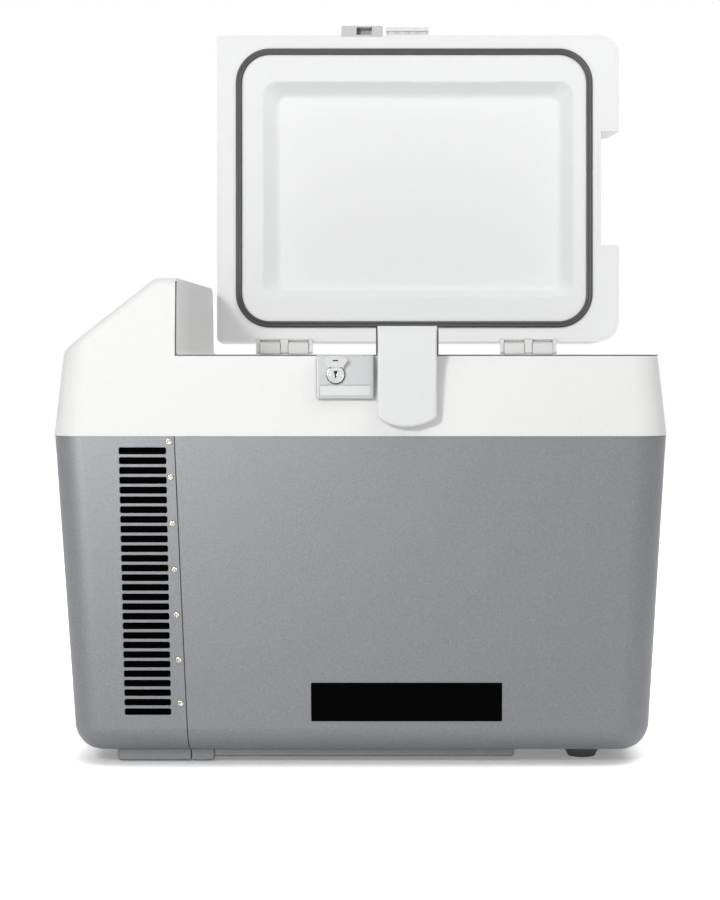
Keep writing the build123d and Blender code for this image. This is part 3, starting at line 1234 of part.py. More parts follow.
def make_shutter_pin():
    (x0, _), (_, x1) = shutter_ear_spans()
    return rod_x(SHUTTER_PIN_R, x0, x1, SHUTTER_Y, SHUTTER_Z)


# ---------------------------------------------------------------- latch
def make_latch_flap():
    """Draw-over flap: curved plate, top lip, side cheeks and a stop rib."""
    x0, x1 = LATCH_MID_X - LATCH_WIDTH / 2, LATCH_MID_X + LATCH_WIDTH / 2
    top, side, arc = DECK_Z + LATCH_TOP, DECK_Z - LATCH_SIDE_DROP, DECK_Z - LATCH_ARC_DROP
    back = LATCH_FACE_Y + LATCH_T
    straight = Polyline((x0, side), (x0, top), (x1, top), (x1, side))
    outline = make_face(Wire([*straight.edges(), ThreePointArc((x1, side), (LATCH_MID_X, arc), (x0, side))]))
    lip_z = DECK_Z + LATCH_LIP_Z
    section = [(LATCH_FACE_Y, arc - 1), (LATCH_FACE_Y, top - LATCH_BEVEL_H),
               (LATCH_FACE_Y + LATCH_BEVEL_D, top), (back + LATCH_LIP, top), (back + LATCH_LIP, lip_z),
               (back, lip_z), (back, arc - 1)]
    flap = bar_x(section, x0, x1) & extrude(Plane.XZ * outline, amount=REACH, both=True)
    front_edges = [e for e in flap.edges()
                   if abs(e.center().Y - LATCH_FACE_Y) < 0.01 and e.center().Z < top - LATCH_BEVEL_H - 1]
    flap = fillet(front_edges, LATCH_EDGE_R)
    side_section = [(back - 0.5, DECK_Z - 52), (back - 0.5, DECK_Z + 1), (back + 4.5, DECK_Z - 2),
                    (LATCH_PIVOT_Y + 3.6, LATCH_PIVOT_Z + 4), (LATCH_PIVOT_Y + 3.6, LATCH_PIVOT_Z - 4),
                    (back + 3, DECK_Z - 52)]
    cheek_out = LATCH_WIDTH / 2 - LATCH_CHEEK_INSET
    cheek_in = cheek_out - LATCH_CHEEK_T
    flap += bar_x(side_section, LATCH_MID_X - cheek_out, LATCH_MID_X - cheek_in)
    flap += bar_x(side_section, LATCH_MID_X + cheek_in, LATCH_MID_X + cheek_out)
    rib_z = DECK_Z - LATCH_SIDE_DROP
    stop = upper_half_depth(rib_z - 2) + FIT
    flap += block(LATCH_MID_X - 18, LATCH_MID_X + 18, back - 0.5, -stop, rib_z - 2, rib_z)
    return flap - rod_x(LATCH_PIN_R + RUN_GAP, x0 - 1, x1 + 1, LATCH_PIVOT_Y, LATCH_PIVOT_Z)


def make_side_plates():
    """Thin dark plates on the flap's two sides, beside its lip."""
    low, high = DECK_Z - 1, DECK_Z + LATCH_TOP - 1.2
    y0, y1 = LATCH_FACE_Y + SIDE_PLATE_BACK, LATCH_FACE_Y + LATCH_T + LATCH_LIP
    slant = [(y0, low), (y0, high - LATCH_BEVEL_H), (y0 + LATCH_BEVEL_D, high), (y1, high), (y1, low)]
    half = LATCH_WIDTH / 2
    return group([bar_x(slant, LATCH_MID_X - half - SIDE_PLATE_T, LATCH_MID_X - half),
                  bar_x(slant, LATCH_MID_X + half, LATCH_MID_X + half + SIDE_PLATE_T)])


def latch_pin_ends():
    reach = LATCH_WIDTH / 2 - LATCH_CHEEK_INSET
    return LATCH_MID_X - reach, LATCH_MID_X + reach


def make_latch_pin():
    x0, x1 = latch_pin_ends()
    return rod_x(LATCH_PIN_R, x0, x1, LATCH_PIVOT_Y, LATCH_PIVOT_Z)


def make_latch_bracket():
    """Bracket on the front wall with two lugs for the latch's pin."""
    half = LATCH_WIDTH / 2 - LATCH_CHEEK_INSET - LATCH_CHEEK_T - FIT
    base_low, base_high = LATCH_PIVOT_Z - 9, LATCH_PIVOT_Z + 9
    base = [(-upper_half_depth(base_low) - 2, base_low), (-upper_half_depth(base_high) - 2, base_high),
            (0, base_high), (0, base_low)]
    bracket = bar_x(base, LATCH_MID_X - half, LATCH_MID_X + half)
    for sign in (-1, 1):
        x = LATCH_MID_X + sign * half
        x0, x1 = min(x, x - sign * LUG_W), max(x, x - sign * LUG_W)
        bracket += rod_x(3.6, x0, x1, LATCH_PIVOT_Y, LATCH_PIVOT_Z)
        bracket += block(x0, x1, LATCH_PIVOT_Y, 0, LATCH_PIVOT_Z - 3.6, LATCH_PIVOT_Z + 3.6)
    bracket -= UPPER
    return bracket - rod_x(LATCH_PIN_R + RUN_GAP / 5, LATCH_MID_X - half - 1, LATCH_MID_X + half + 1,
                           LATCH_PIVOT_Y, LATCH_PIVOT_Z)


# ---------------------------------------------------------------- assembly
def opened(piece):
    """Turn a lid piece from closed to its open rest."""
    return piece.rotate(Axis((0, HINGE_Y, HINGE_Z), (1, 0, 0)), -LID_OPEN_ANGLE)


PIECES = {
    "body_tub": make_body_tub(),
    "compressor_cover": make_compressor_cover(),
    "cover_screws": make_cover_screws(),
    "rubber_feet": make_feet(),
    "upper_housing": make_upper_housing(),
    "deck_tray": make_deck_tray(),
    "rim_seal": make_rim_seal(),
    "right_grip_cup": make_right_grip(),
    "left_grip_cup": make_left_grip(),
    "inner_liner": make_inner_liner(),
    "evaporator_sheet": make_evaporator(),
    "body_insulation": make_insulation(),
    "temperature_probe": make_probe(),
    "control_panel": make_control_panel(),
    "display_window": make_display_window(),
    "display_board": make_display_board(),
    "ac_inlet": make_inlet("ac_inlet"),
    "dc_inlet": make_inlet("dc_inlet"),
    "inlet_pins": make_inlet_pins(),
    "base_plate": make_base_plate(),
    "compressor": make_compressor(),
    "compressor_grommets": make_grommets(),
    "condenser": make_condenser(),
    "fan_shroud": make_fan_shroud(),
    "fan_frame": make_fan_frame(),
    "fan_rotor": make_fan_rotor(),
    "control_module": make_control_module(),
    "filter_drier": make_drier(),
    "hinge_blocks": make_hinge_blocks(),
    "hinge_pins": make_hinge_pins(),
    "hinge_screws": make_hinge_screws(),
    "lock_housing": make_lock_housing(),
    "lock_barrel": make_lock_barrel(),
    "lock_plug": make_lock_plug(),
    "lock_hook": make_lock_hook(),
    "lock_shutter": make_lock_shutter(),
    "shutter_pin": make_shutter_pin(),
    "latch_flap": make_latch_flap(),
    "latch_side_plates": make_side_plates(),
    "latch_pin": make_latch_pin(),
    "latch_bracket": make_latch_bracket(),
    "hinge_lid_leaves": opened(group([make_lid_leaf(mid) for mid in HINGE_XS])),
    "lid_shell": opened(make_lid_shell()),
    "lid_panel": opened(make_lid_panel()),
    "lid_insulation": opened(make_lid_foam()),
    "lid_gasket": opened(make_lid_gasket()),
    "lock_strike": opened(make_strike()),
    "strike_screws": opened(make_strike_screws()),
    "latch_catch": opened(make_catch()),
}
for index, name in enumerate(BUTTON_NAMES):
    PIECES["button_" + name] = make_button(index)

# the origin goes under the middle of the whole outline, on the floor
OUTLINE = Compound(children=[solid for piece in PIECES.values() for solid in piece.solids()]).bounding_box()
DATUM = Vector(-(OUTLINE.min.X + OUTLINE.max.X) / 2, -(OUTLINE.min.Y + OUTLINE.max.Y) / 2, -OUTLINE.min.Z)

os.makedirs("parts", exist_ok=True)
for name, piece in PIECES.items():
    export_step(Pos(DATUM) * piece, "parts/" + name + ".step")
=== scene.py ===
import json
import math

import bmesh
import bpy
import numpy as np
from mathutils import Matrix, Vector


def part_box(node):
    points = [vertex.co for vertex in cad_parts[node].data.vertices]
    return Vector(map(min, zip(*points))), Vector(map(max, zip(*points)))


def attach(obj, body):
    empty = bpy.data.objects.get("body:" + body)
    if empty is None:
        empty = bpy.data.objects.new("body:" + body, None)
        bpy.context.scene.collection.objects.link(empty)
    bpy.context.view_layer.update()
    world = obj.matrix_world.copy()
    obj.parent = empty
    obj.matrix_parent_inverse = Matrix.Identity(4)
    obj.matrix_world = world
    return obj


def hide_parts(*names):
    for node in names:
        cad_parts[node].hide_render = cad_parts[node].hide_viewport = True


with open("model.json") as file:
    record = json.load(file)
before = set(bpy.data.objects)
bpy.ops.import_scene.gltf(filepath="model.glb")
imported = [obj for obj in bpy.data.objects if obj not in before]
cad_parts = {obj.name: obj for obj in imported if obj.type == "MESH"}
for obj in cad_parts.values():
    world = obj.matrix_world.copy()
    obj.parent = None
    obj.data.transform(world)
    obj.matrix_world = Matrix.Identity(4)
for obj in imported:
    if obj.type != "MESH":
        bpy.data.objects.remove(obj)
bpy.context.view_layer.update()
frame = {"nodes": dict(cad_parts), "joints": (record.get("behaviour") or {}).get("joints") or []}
MM = 0.001


# ---- Lower body: tub, compressor cover and skids -------------------------------------------------
# Two grey ABS mouldings, the tub that holds the foam and the cover over the compressor, screwed
# together along the slanted seam. Their moulds were spark-eroded, so the faces carry a fine, hard
# grain that scatters the light, while rounded edges catch a thin bright line.
BODY_GREY = "#575A5F"
BODY_GREY_WORN = "#6F7277"
SPARK_GRAIN_MM = 1.2        # the real grain is about 0.3 mm; coarser here so that it shows
SPARK_DEPTH_MM = 0.15
FLECK_MM = 1.8              # size of the paler and darker flecks in the grain
FLECK_RANGE = (0.12, 0.42)  # the flecks' strength at which the second colour starts and is full
MOULDED_EDGE_MM = 0.6       # edge radius left by the mould
GRAIN_SHEEN = 0.06          # how far the grain moves the roughness either way
PLASTIC_IOR = 1.53          # ABS; the rubbers and paints are close to it
CORNER_MM = 3.0             # how far the painted shade of a corner or a joint reaches out of it
CORNER_OPEN = (0.25, 0.85)  # openness at which a corner's painted shade is darkest, and at which it ends
CORNER_SHADE = 0.45         # share of the colour that is left where the painted shade of a corner is darkest


def paint(code):
    """An sRGB hex colour as linear RGBA: each channel c becomes ((c + 0.055) / 1.055) ^ 2.4."""
    channels = [int(code[i:i + 2], 16) / 255 for i in (1, 3, 5)]
    return [c / 12.92 if c <= 0.04045 else ((c + 0.055) / 1.055) ** 2.4 for c in channels] + [1.0]


def add(tree, kind, sockets=None, **settings):
    """Adds a node, sets its properties, and sets or links its input sockets."""
    node = tree.nodes.new(kind)
    for name, value in settings.items():
        setattr(node, name, value)
    for name, value in (sockets or {}).items():
        if isinstance(value, bpy.types.NodeSocket):
            tree.links.new(value, node.inputs[name])
        else:
            node.inputs[name].default_value = value
    return node


def new_material(name, surface):
    """A node material; surface(tree, object coordinates) returns the finished shader's socket."""
    material = bpy.data.materials.new(name)
    material.use_nodes = True
    tree = material.node_tree
    tree.nodes.clear()
    place = add(tree, "ShaderNodeTexCoord").outputs["Object"]
    add(tree, "ShaderNodeOutputMaterial", {"Surface": surface(tree, place)})
    return material


def moulded(name, colour, worn, grain_mm, depth_mm, roughness, edge_mm=MOULDED_EDGE_MM, gloss=0.5):
    """A moulded or coated face: flecks of a second colour, a grain that lifts the surface and moves
    its roughness, edges rounded by edge_mm, and shade painted into the colour in corners and joints."""
    def surface(tree, place):
        flecks = add(tree, "ShaderNodeTexNoise", {
            "Vector": place, "Scale": 1 / (FLECK_MM * MM), "Detail": 4.0, "Roughness": 0.6})
        grain = add(tree, "ShaderNodeTexNoise", {
            "Vector": place, "Scale": 1 / (grain_mm * MM), "Detail": 3.0, "Roughness": 0.65})
        both = add(tree, "ShaderNodeMath", {0: flecks.outputs["Fac"], 1: grain.outputs["Fac"]},
                   operation="MULTIPLY")
        worn_share = add(tree, "ShaderNodeMapRange", {
            "Value": both.outputs[0], "From Min": FLECK_RANGE[0], "From Max": FLECK_RANGE[1]})
        skin = add(tree, "ShaderNodeMix", {
            "Factor": worn_share.outputs["Result"], "A": paint(colour), "B": paint(worn)},
            data_type="RGBA")
        rounded = add(tree, "ShaderNodeBevel", {"Radius": edge_mm * MM}, samples=4)
        # Painted shade: ambient occlusion darkens the colour in corners and joints, down to CORNER_SHADE.
        corner = add(tree, "ShaderNodeAmbientOcclusion", {
            "Distance": CORNER_MM * MM, "Normal": rounded.outputs["Normal"]}, samples=6)
        corner_lit_share = add(tree, "ShaderNodeMapRange", {
            "Value": corner.outputs["AO"], "From Min": CORNER_OPEN[0], "From Max": CORNER_OPEN[1],
            "To Min": CORNER_SHADE, "To Max": 1.0})
        shaded = add(tree, "ShaderNodeVectorMath", {
            0: skin.outputs["Result"], "Scale": corner_lit_share.outputs["Result"]}, operation="SCALE")
        sheen = add(tree, "ShaderNodeMapRange", {
            "Value": grain.outputs["Fac"],
            "To Min": roughness - GRAIN_SHEEN, "To Max": roughness + GRAIN_SHEEN})
        bump = add(tree, "ShaderNodeBump", {
            "Height": grain.outputs["Fac"], "Distance": depth_mm * MM, "Strength": 1.0,
            "Normal": rounded.outputs["Normal"]})
        shader = add(tree, "ShaderNodeBsdfPrincipled", {
            "Base Color": shaded.outputs["Vector"], "Roughness": sheen.outputs["Result"],
            "IOR": PLASTIC_IOR, "Specular IOR Level": gloss, "Normal": bump.outputs["Normal"]})
        return shader.outputs["BSDF"]
    return new_material(name, surface)


def dress(material, *names):
    """Gives CAD nodes their finish; their meshes stay as they are."""
    for name in names:
        slots = frame["nodes"][name].data.materials
        slots.clear()
        slots.append(material)


# Grey ABS from a spark-eroded mould: a matt, finely flecked skin with one broad, soft sheen.
spark_abs = moulded("grey_spark_eroded_abs", BODY_GREY, BODY_GREY_WORN, SPARK_GRAIN_MM, SPARK_DEPTH_MM,
                    0.48, gloss=1.0)
dress(spark_abs, "body_tub", "compressor_cover")


# ---- Upper housing, deck tray and grips ----------------------------------------------------------
# White ABS with a finer grain: the housing with its hump, the tray let into it, and the cups behind
# the finger grips, which clip in from inside.
WHITE = "#E9E9E8"
WHITE_BRIGHT = "#EFEFEE"
WHITE_GRAIN_MM = 1.0
WHITE_DEPTH_MM = 0.012

# Satin white ABS: it reads as even white, with hardly a highlight.
white_abs = moulded("white_satin_abs", WHITE, WHITE_BRIGHT, WHITE_GRAIN_MM, WHITE_DEPTH_MM, 0.55,
                    gloss=0.12)
dress(white_abs, "upper_housing", "deck_tray", "right_grip_cup", "left_grip_cup")


# ---- Cavity: liner and temperature probe ---------------------------------------------------------
# A vacuum-formed white liner with rounded corners, smoother than the housing because the sheet is
# drawn over a polished tool, with the probe's clip on its left wall.
LINER_WHITE = "#E2E4E5"
LINER_BRIGHT = "#EAECEC"

# Drawn polystyrene sheet: smooth and a little glossy, so its corners carry soft highlights.
liner_sheet = moulded("vacuum_formed_liner", LINER_WHITE, LINER_BRIGHT, 2.5, 0.01, 0.30)
dress(liner_sheet, "inner_liner")
# Grey clip plastic: slightly darker than the liner, so that the probe stands out.
probe_plastic = moulded("probe_clip_plastic", "#C9CCCE", "#D4D6D8", 1.2, 0.01, 0.42)
dress(probe_plastic, "temperature_probe")


# ---- Seal between housing and tray, and rubber feet ----------------------------------------------
# Extruded and moulded black rubber: a thin dark line round the deck and up the hump's wall, four feet
# dished for their screws and pressed into the underside, and the compressor's grommets.

# Extruded rubber: near black, matt and dusty.
seal_rubber = moulded("extruded_seal_rubber", "#26262A", "#3A3A3E", 0.8, 0.02, 0.62)
dress(seal_rubber, "rim_seal")
# Moulded rubber that has stood on floors: dark grey, with broad and weak highlights.
foot_rubber = moulded("moulded_foot_rubber", "#58585B", "#68686C", 1.0, 0.03, 0.55)
dress(foot_rubber, "rubber_feet", "compressor_grommets")


# ---- Lid: shell, inner panel and foam ------------------------------------------------------------
# The lid is a white ABS shell closed by a vacuum-formed panel with a dished middle, and the space
# between them is foamed, as the space round the liner is.

# The lid's ABS: the housing's finish in a brighter white, painted light that makes the lid read as more
# lit.
lid_abs = moulded("lid_white_abs", "#F5F5F4", "#F8F8F7", WHITE_GRAIN_MM, WHITE_DEPTH_MM, 0.55,
                  gloss=0.12)
dress(lid_abs, "lid_shell")
# Drawn sheet: smoother than the shell, and only the dish's rounded walls show on it.
# Painted light: as the shell's, this white is brighter than the housing's so that the lid reads as more
# lit.
panel_sheet = moulded("vacuum_formed_lid_panel", "#F3F4F4", "#F7F7F7", 2.0, 0.012, 0.5, gloss=0.12)
dress(panel_sheet, "lid_panel")
# Poured polyurethane foam: straw yellow and quite matt.
foam = moulded("rigid_polyurethane_foam", "#D8C48C", "#E2D3A4", 1.5, 0.3, 0.9)
dress(foam, "body_insulation", "lid_insulation")


# ---- Lid gasket ----------------------------------------------------------------------------------
# An extruded black rubber gasket pushed into a channel round the lid's dish. It has two soft lips with
# a groove between them, and its ends meet in a butt joint on the right-hand side.
JOINTS = {joint["name"]: joint for joint in frame["joints"]}
HINGE_Y, HINGE_Z = np.array(JOINTS["lid_hinge"]["pos_m"][1:]) / MM
LID_TURN = math.radians(JOINTS["lid_hinge"]["range_deg"][1])  # how far the lid stands open, as drawn
GASKET_SPAN = (-144.9, 244.1, 29.9, 332.64)    # centre line: X, then distance in front of the axis
GASKET_CORNER = 34.6
GASKET_UNDER = 0.4                             # the lips' foot below the closed lid's axis
GASKET_SPLICE = 198.0                          # distance of the butt joint in front of the axis
SPLICE_SHRINK = 0.86                           # the cut ends have shrunk to this share
GASKET_STEP_MM = 1.5
SPLICE_HALF = 0.76 * GASKET_STEP_MM            # takes in one section on each side of the joint
# The section, from its left foot over both lips and down round the root: across, and out of the channel.
LIP_ACROSS = np.array([-3.4, -3.4, -3.1, -2.4, -1.6, -0.9, -0.35, 0.35, 0.9,
                       1.6, 2.4, 3.1, 3.4, 3.4, 1.6, 1.6, -1.6, -1.6])
LIP_HEIGHT = np.array([0.0, 1.1, 1.9, 2.4, 2.6, 2.45, 1.9, 1.9, 2.45,
                       2.6, 2.4, 1.9, 1.1, 0.0, 0.0, -3.0, -3.0, 0.0])
POLE_GAP = 1e-6             # points nearer than this, in metres, are made one, which closes a pole


def put_mesh(name, points, faces, body, material, smooth=True):
    """Makes a mesh in millimetres of the row frame, with its material, riding on a body."""
    mesh = bpy.data.meshes.new(name)
    mesh.from_pydata((points.reshape(-1, 3) * MM).tolist(), [], faces)
    mesh.polygons.foreach_set("use_smooth", [smooth] * len(mesh.polygons))
    mesh.materials.append(material)
    shell = bmesh.new()
    shell.from_mesh(mesh)
    bmesh.ops.remove_doubles(shell, verts=shell.verts, dist=POLE_GAP)
    shell.to_mesh(mesh)
    shell.free()
    mesh.update()
    piece = bpy.data.objects.new(name, mesh)
    bpy.context.scene.collection.objects.link(piece)
    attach(piece, body)
    return piece


def grid_faces(rows, columns, rows_close=False):
    """Quads of a grid of points counted row by row: the columns always close on themselves, and the rows
    if asked. Where the rows follow one another to the right and the columns upwards, they face away."""
    i = np.arange(rows if rows_close else rows - 1)[:, None]
    j = np.arange(columns)[None, :]
    next_i, next_j = (i + 1) % rows, (j + 1) % columns
    quads = [i * columns + j, i * columns + next_j, next_i * columns + next_j, next_i * columns + j]
    return np.stack([np.broadcast_to(q, (i.size, j.size)) for q in quads], -1).reshape(-1, 4)


def lid_place(x, ahead, above):
    """Closed-lid places (X, distance in front of the hinge axis, height above it) with the lid open:
    y = axis_y - ahead cos t + above sin t and z = axis_z + ahead sin t + above cos t, t the opening."""
    y = HINGE_Y - ahead * math.cos(LID_TURN) + above * math.sin(LID_TURN)
    z = HINGE_Z + ahead * math.sin(LID_TURN) + above * math.cos(LID_TURN)
    return np.stack(np.broadcast_arrays(x, y, z), -1)


def rounded_path(x0, x1, y0, y1, radius, step):
    """Even points (x, y) and outward directions along a rounded rectangle, counter-clockwise from the
    middle of its right side: straight runs joined by quarter circles."""
    long_x, long_y, arc = x1 - x0 - 2 * radius, y1 - y0 - 2 * radius, radius * math.pi / 2
    lengths = np.array([long_y / 2, arc, long_x, arc, long_y, arc, long_x, arc, long_y / 2])
    ends = np.concatenate([[0], np.cumsum(lengths)])
    turns = np.concatenate([[0], np.cumsum([0, math.pi / 2] * 4 + [0])])
    total = ends[-1]
    at = np.linspace(0, total, int(total / step), endpoint=False)
    angle = np.interp(at, ends, turns)
    out = np.stack([np.cos(angle), np.sin(angle)], 1)
    tiny = 1e-9
    x = np.where(np.cos(angle + tiny) > 0, x1 - radius, x0 + radius) + radius * out[:, 0]
    y = np.where(np.sin(angle + tiny) > 0, y1 - radius, y0 + radius) + radius * out[:, 1]
    run = np.searchsorted(ends, at, side="right") - 1
    part = at - ends[run]
    x = np.where(run == 2, x1 - radius - part, np.where(run == 6, x0 + radius + part, x))
    y = np.where(run == 4, y1 - radius - part, y)
    y = np.where(run == 0, (y0 + y1) / 2 + part, np.where(run == 8, y0 + radius + part, y))
    return np.stack([x, y], 1), out


# Extruded gasket rubber: a warm near-black with a weak, broad highlight along each lip.
gasket_rubber = moulded("extruded_gasket_rubber", "#32312F", "#3B3A38", 1.0, 0.02, 0.55)
line, outward = rounded_path(*GASKET_SPAN, GASKET_CORNER, GASKET_STEP_MM)
on_right = line[:, 0] > GASKET_SPAN[1] - 1
at_splice = on_right & (abs(line[:, 1] - GASKET_SPLICE) < SPLICE_HALF)
shrink = np.where(at_splice, SPLICE_SHRINK, 1.0)[:, None]
across = LIP_ACROSS * shrink
gasket_points = lid_place(line[:, :1] + outward[:, :1] * across, line[:, 1:] + outward[:, 1:] * across,
                          -GASKET_UNDER - LIP_HEIGHT * shrink)
gasket_quads = grid_faces(len(line), len(LIP_ACROSS), rows_close=True).tolist()
gasket = put_mesh("gasket_lips", gasket_points, gasket_quads, "lid", gasket_rubber)
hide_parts("lid_gasket")


# ---- Screws --------------------------------------------------------------------------------------
# Bright zinc-plated pan-head screws with a cross recess: seven down each edge of the compressor cover,
# front and back, one in each hinge block, and two in the strike's flange.
tub_low, tub_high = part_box("body_tub")
MIDDLE_Y = (tub_low.y + tub_high.y) / 2 / MM   # half way from the body's front to its back
BELT_Z = tub_high.z / MM                       # where the grey tub meets the white housing
BELT_HALF_DEPTH = (tub_high.y - tub_low.y) / 2 / MM
WALL_DRAFT = 0.08                              # how far the walls lean inwards per unit of height
SEAM_X, SEAM_LEAN = -173.3, 0.0259             # the cover's seam at the belt, and its lean
SCREW_INSET = 5.5
COVER_SCREW_Z = np.array([314.0, 280.5, 236.5, 192.5, 149.0, 105.5, 63.0])
COVER_HEAD_R, SMALL_HEAD_R = 3.0, 2.6
HINGE_SCREW_X = (-110.2, -78.8, 160.5, 191.9)
HINGE_SCREW_BEHIND, HINGE_SCREW_Z = 1.29, 378.0  # behind the lid's axis, and up
HINGE_WALL_LEAN = 0.13
STRIKE_X, STRIKE_AHEAD = 9.7, 351.04           # the flange's face, in front of the lid's axis
STRIKE_SCREW_ABOVE = (4.72, 11.6)
HEAD_TURN_STEPS = 48
CROSS_HALF_WIDTH, CROSS_REACH, CROSS_DEPTH = 0.17, 0.62, 0.45  # shares of the head's radius
CROSS_SIDE_SLOPE, CROSS_END_SLOPE = 0.06, 0.10                 # width of the recess's sloping walls
HEAD_PROFILE = np.array([                      # radius and height, as shares of the head's radius
    [0.0, -1.6], [0.5, -1.6], [0.5, 0.0], [1.0, 0.0], [1.0, 0.14], [0.965, 0.27], [0.87, 0.39],
    [0.74, 0.46], [0.62, 0.485], [0.5, 0.497], [0.38, 0.505], [0.26, 0.51], [0.17, 0.512],
    [0.08, 0.514], [0.0, 0.515]])
CROSS_FROM_HEIGHT = 0.3                        # only the dome above this height is recessed
FIRST_SPIN, NEXT_SPIN = 0.4, 1.3               # each cross was left at an angle of its own
PLATED_EDGE_MM = 0.3
MARKS_MM = 4.0                                 # size of handling marks on plated metal
MARKS_POLISH, MARKS_DULL = 0.05, 0.08          # how far the marks move the roughness down and up


def screw_head(centre, axis, radius, spin):
    """A screw's surface: the profile turned about its axis, r(s) and h(s) times the radius, lowered by
    CROSS_DEPTH wherever min(|x|, |y|) is under the slot's half width and max(|x|, |y|) under its reach."""
    turn = np.linspace(0, 2 * math.pi, HEAD_TURN_STEPS, endpoint=False)
    rise = HEAD_PROFILE[:, 1:]
    x = HEAD_PROFILE[:, :1] * np.cos(turn)
    y = HEAD_PROFILE[:, :1] * np.sin(turn)
    near, far = np.minimum(abs(x), abs(y)), np.maximum(abs(x), abs(y))
    recess = np.clip((CROSS_HALF_WIDTH - near) / CROSS_SIDE_SLOPE + 0.5, 0, 1)
    recess = recess * np.clip((CROSS_REACH - far) / CROSS_END_SLOPE + 0.5, 0, 1)
    height = rise - CROSS_DEPTH * recess * (rise > CROSS_FROM_HEIGHT)
    axis = np.asarray(axis, float) / np.linalg.norm(axis)
    side = np.cross(axis, [math.cos(spin), 0.0, math.sin(spin)])
    side /= np.linalg.norm(side)
    other = np.cross(axis, side)
    shape = x[..., None] * side + y[..., None] * other + height[..., None] * axis
    return np.asarray(centre) + radius * shape


def screw_set(name, places, body, material, node):
    """All the screws of one kind as one piece; each place is (centre, axis, radius)."""
    heads = np.stack([screw_head(*place, FIRST_SPIN + NEXT_SPIN * k) for k, place in enumerate(places)])
    quads = grid_faces(len(HEAD_PROFILE), HEAD_TURN_STEPS)
    points_each = len(HEAD_PROFILE) * HEAD_TURN_STEPS
    faces = np.concatenate([quads + k * points_each for k in range(len(places))]).tolist()
    piece = put_mesh(name, heads, faces, body, material)
    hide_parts(node)


def plated(name, colour, roughness):
    """Plated or bare metal: its roughness drifts with handling marks, edges are slightly rounded."""
    def surface(tree, place):
        marks = add(tree, "ShaderNodeTexNoise", {
            "Vector": place, "Scale": 1 / (MARKS_MM * MM), "Detail": 5.0, "Roughness": 0.7})
        polish = add(tree, "ShaderNodeMapRange", {
            "Value": marks.outputs["Fac"], "From Min": 0.3, "From Max": 0.7,
            "To Min": roughness - MARKS_POLISH, "To Max": roughness + MARKS_DULL})
        rounded = add(tree, "ShaderNodeBevel", {"Radius": PLATED_EDGE_MM * MM}, samples=4)
        shader = add(tree, "ShaderNodeBsdfPrincipled", {
            "Base Color": paint(colour), "Metallic": 1.0, "Roughness": polish.outputs["Result"],
            "Normal": rounded.outputs["Normal"]})
        return shader.outputs["BSDF"]
    return new_material(name, surface)


# Bright zinc on small heads: a warm metal that sparkles on the dome and goes dark in the cross.
screw_zinc = plated("screw_zinc_plate", "#A9A598", 0.20)
below_belt = BELT_Z - COVER_SCREW_Z
screw_x = SEAM_X + SEAM_LEAN * below_belt - SCREW_INSET
wall_out = BELT_HALF_DEPTH - WALL_DRAFT * below_belt
cover_places = [((x, side * out + MIDDLE_Y, z), (0, side, -WALL_DRAFT), COVER_HEAD_R)
                for side in (-1, 1) for x, out, z in zip(screw_x, wall_out, COVER_SCREW_Z)]
screw_set("cover_screw_heads", cover_places, "body", screw_zinc, "cover_screws")
hinge_places = [((x, HINGE_Y + HINGE_SCREW_BEHIND, HINGE_SCREW_Z), (0, 1, HINGE_WALL_LEAN), SMALL_HEAD_R)
                for x in HINGE_SCREW_X]
screw_set("hinge_screw_heads", hinge_places, "body", screw_zinc, "hinge_screws")
strike_axis = lid_place(0, 1, 0) - lid_place(0, 0, 0)
strike_places = [(lid_place(STRIKE_X, STRIKE_AHEAD, above), strike_axis, SMALL_HEAD_R)
                 for above in STRIKE_SCREW_ABOVE]
screw_set("strike_screw_heads", strike_places, "lid", screw_zinc, "strike_screws")


# ---- Hinges --------------------------------------------------------------------------------------
# Two white moulded hinges: blocks screwed to the housing's back wall and leaves let into the lid,
# turning on zinc-plated steel pins that are pushed through both.

dress(white_abs, "hinge_blocks", "hinge_lid_leaves")
# Zinc-plated steel: a cool grey metal with a soft, broken shine.
zinc = plated("zinc_plated_steel", "#CFD0D1", 0.26)
dress(zinc, "hinge_pins")


# ---- Lock ----------------------------------------------------------------------------------------
# A cast grey box on the front wall, with a nickel-plated brass cylinder, its turning plug, a pressed
# shutter that flips over the keyhole, and a stamped steel hook. Black pieces draw the flange's dark
# gap with a painted shadow below it, and paint the shade in the keyhole and in the shutter's slot.
LOCK_X, BOX_Y, LOCK_Z = np.array(JOINTS["lock_turn"]["pos_m"]) / MM  # its axis, at the box's face
FLANGE_PROUD = 1.6                             # how far the cylinder's flange stands out of the box
FLANGE_Y = BOX_Y - FLANGE_PROUD
BEAD_R, BEAD_WIDE, BEAD_PROUD = 8.72, 1.0, 0.30  # outer radius, greatest width, height of the bulge
BEAD_LOW_TURN = math.radians(-83)              # the ring is widest here, where it paints the flange's shadow, and thins out opposite
BEAD_LEAST = 0.08
BEAD_STEPS, BEAD_ACROSS_STEPS = 96, 9
SEATED = 0.05                                  # how far the bead's back lies inside the flange
KEYHOLE_FOOT, KEYHOLE_ROUND = 1.42, 1.70       # width of the foot, radius of the round end
KEYHOLE_TOP, KEYHOLE_BOTTOM = 4.15, 2.75       # above and below the axis
FLAP_BEHIND, FLAP_THICK = 0.9, 0.7
STRIP_SPAN = (-37.0, 9.9, 357.1, 366.4)        # X and Z of the bare strip in the box's recess
STRIP_CORNER, STRIP_BEHIND, STRIP_THICK = 0.4, 0.48, 0.36
SLOT_SHADE_Z, SLOT_SHADE_WIDE, SLOT_SHADE_TALL, SLOT_SHADE_CORNER, SLOT_SHADE_THICK = 389.3, 8.0, 3.4, 1.2, 0.5
SLOT_SHADE_SUNK = 0.02                               # how far its back lies inside the box's face


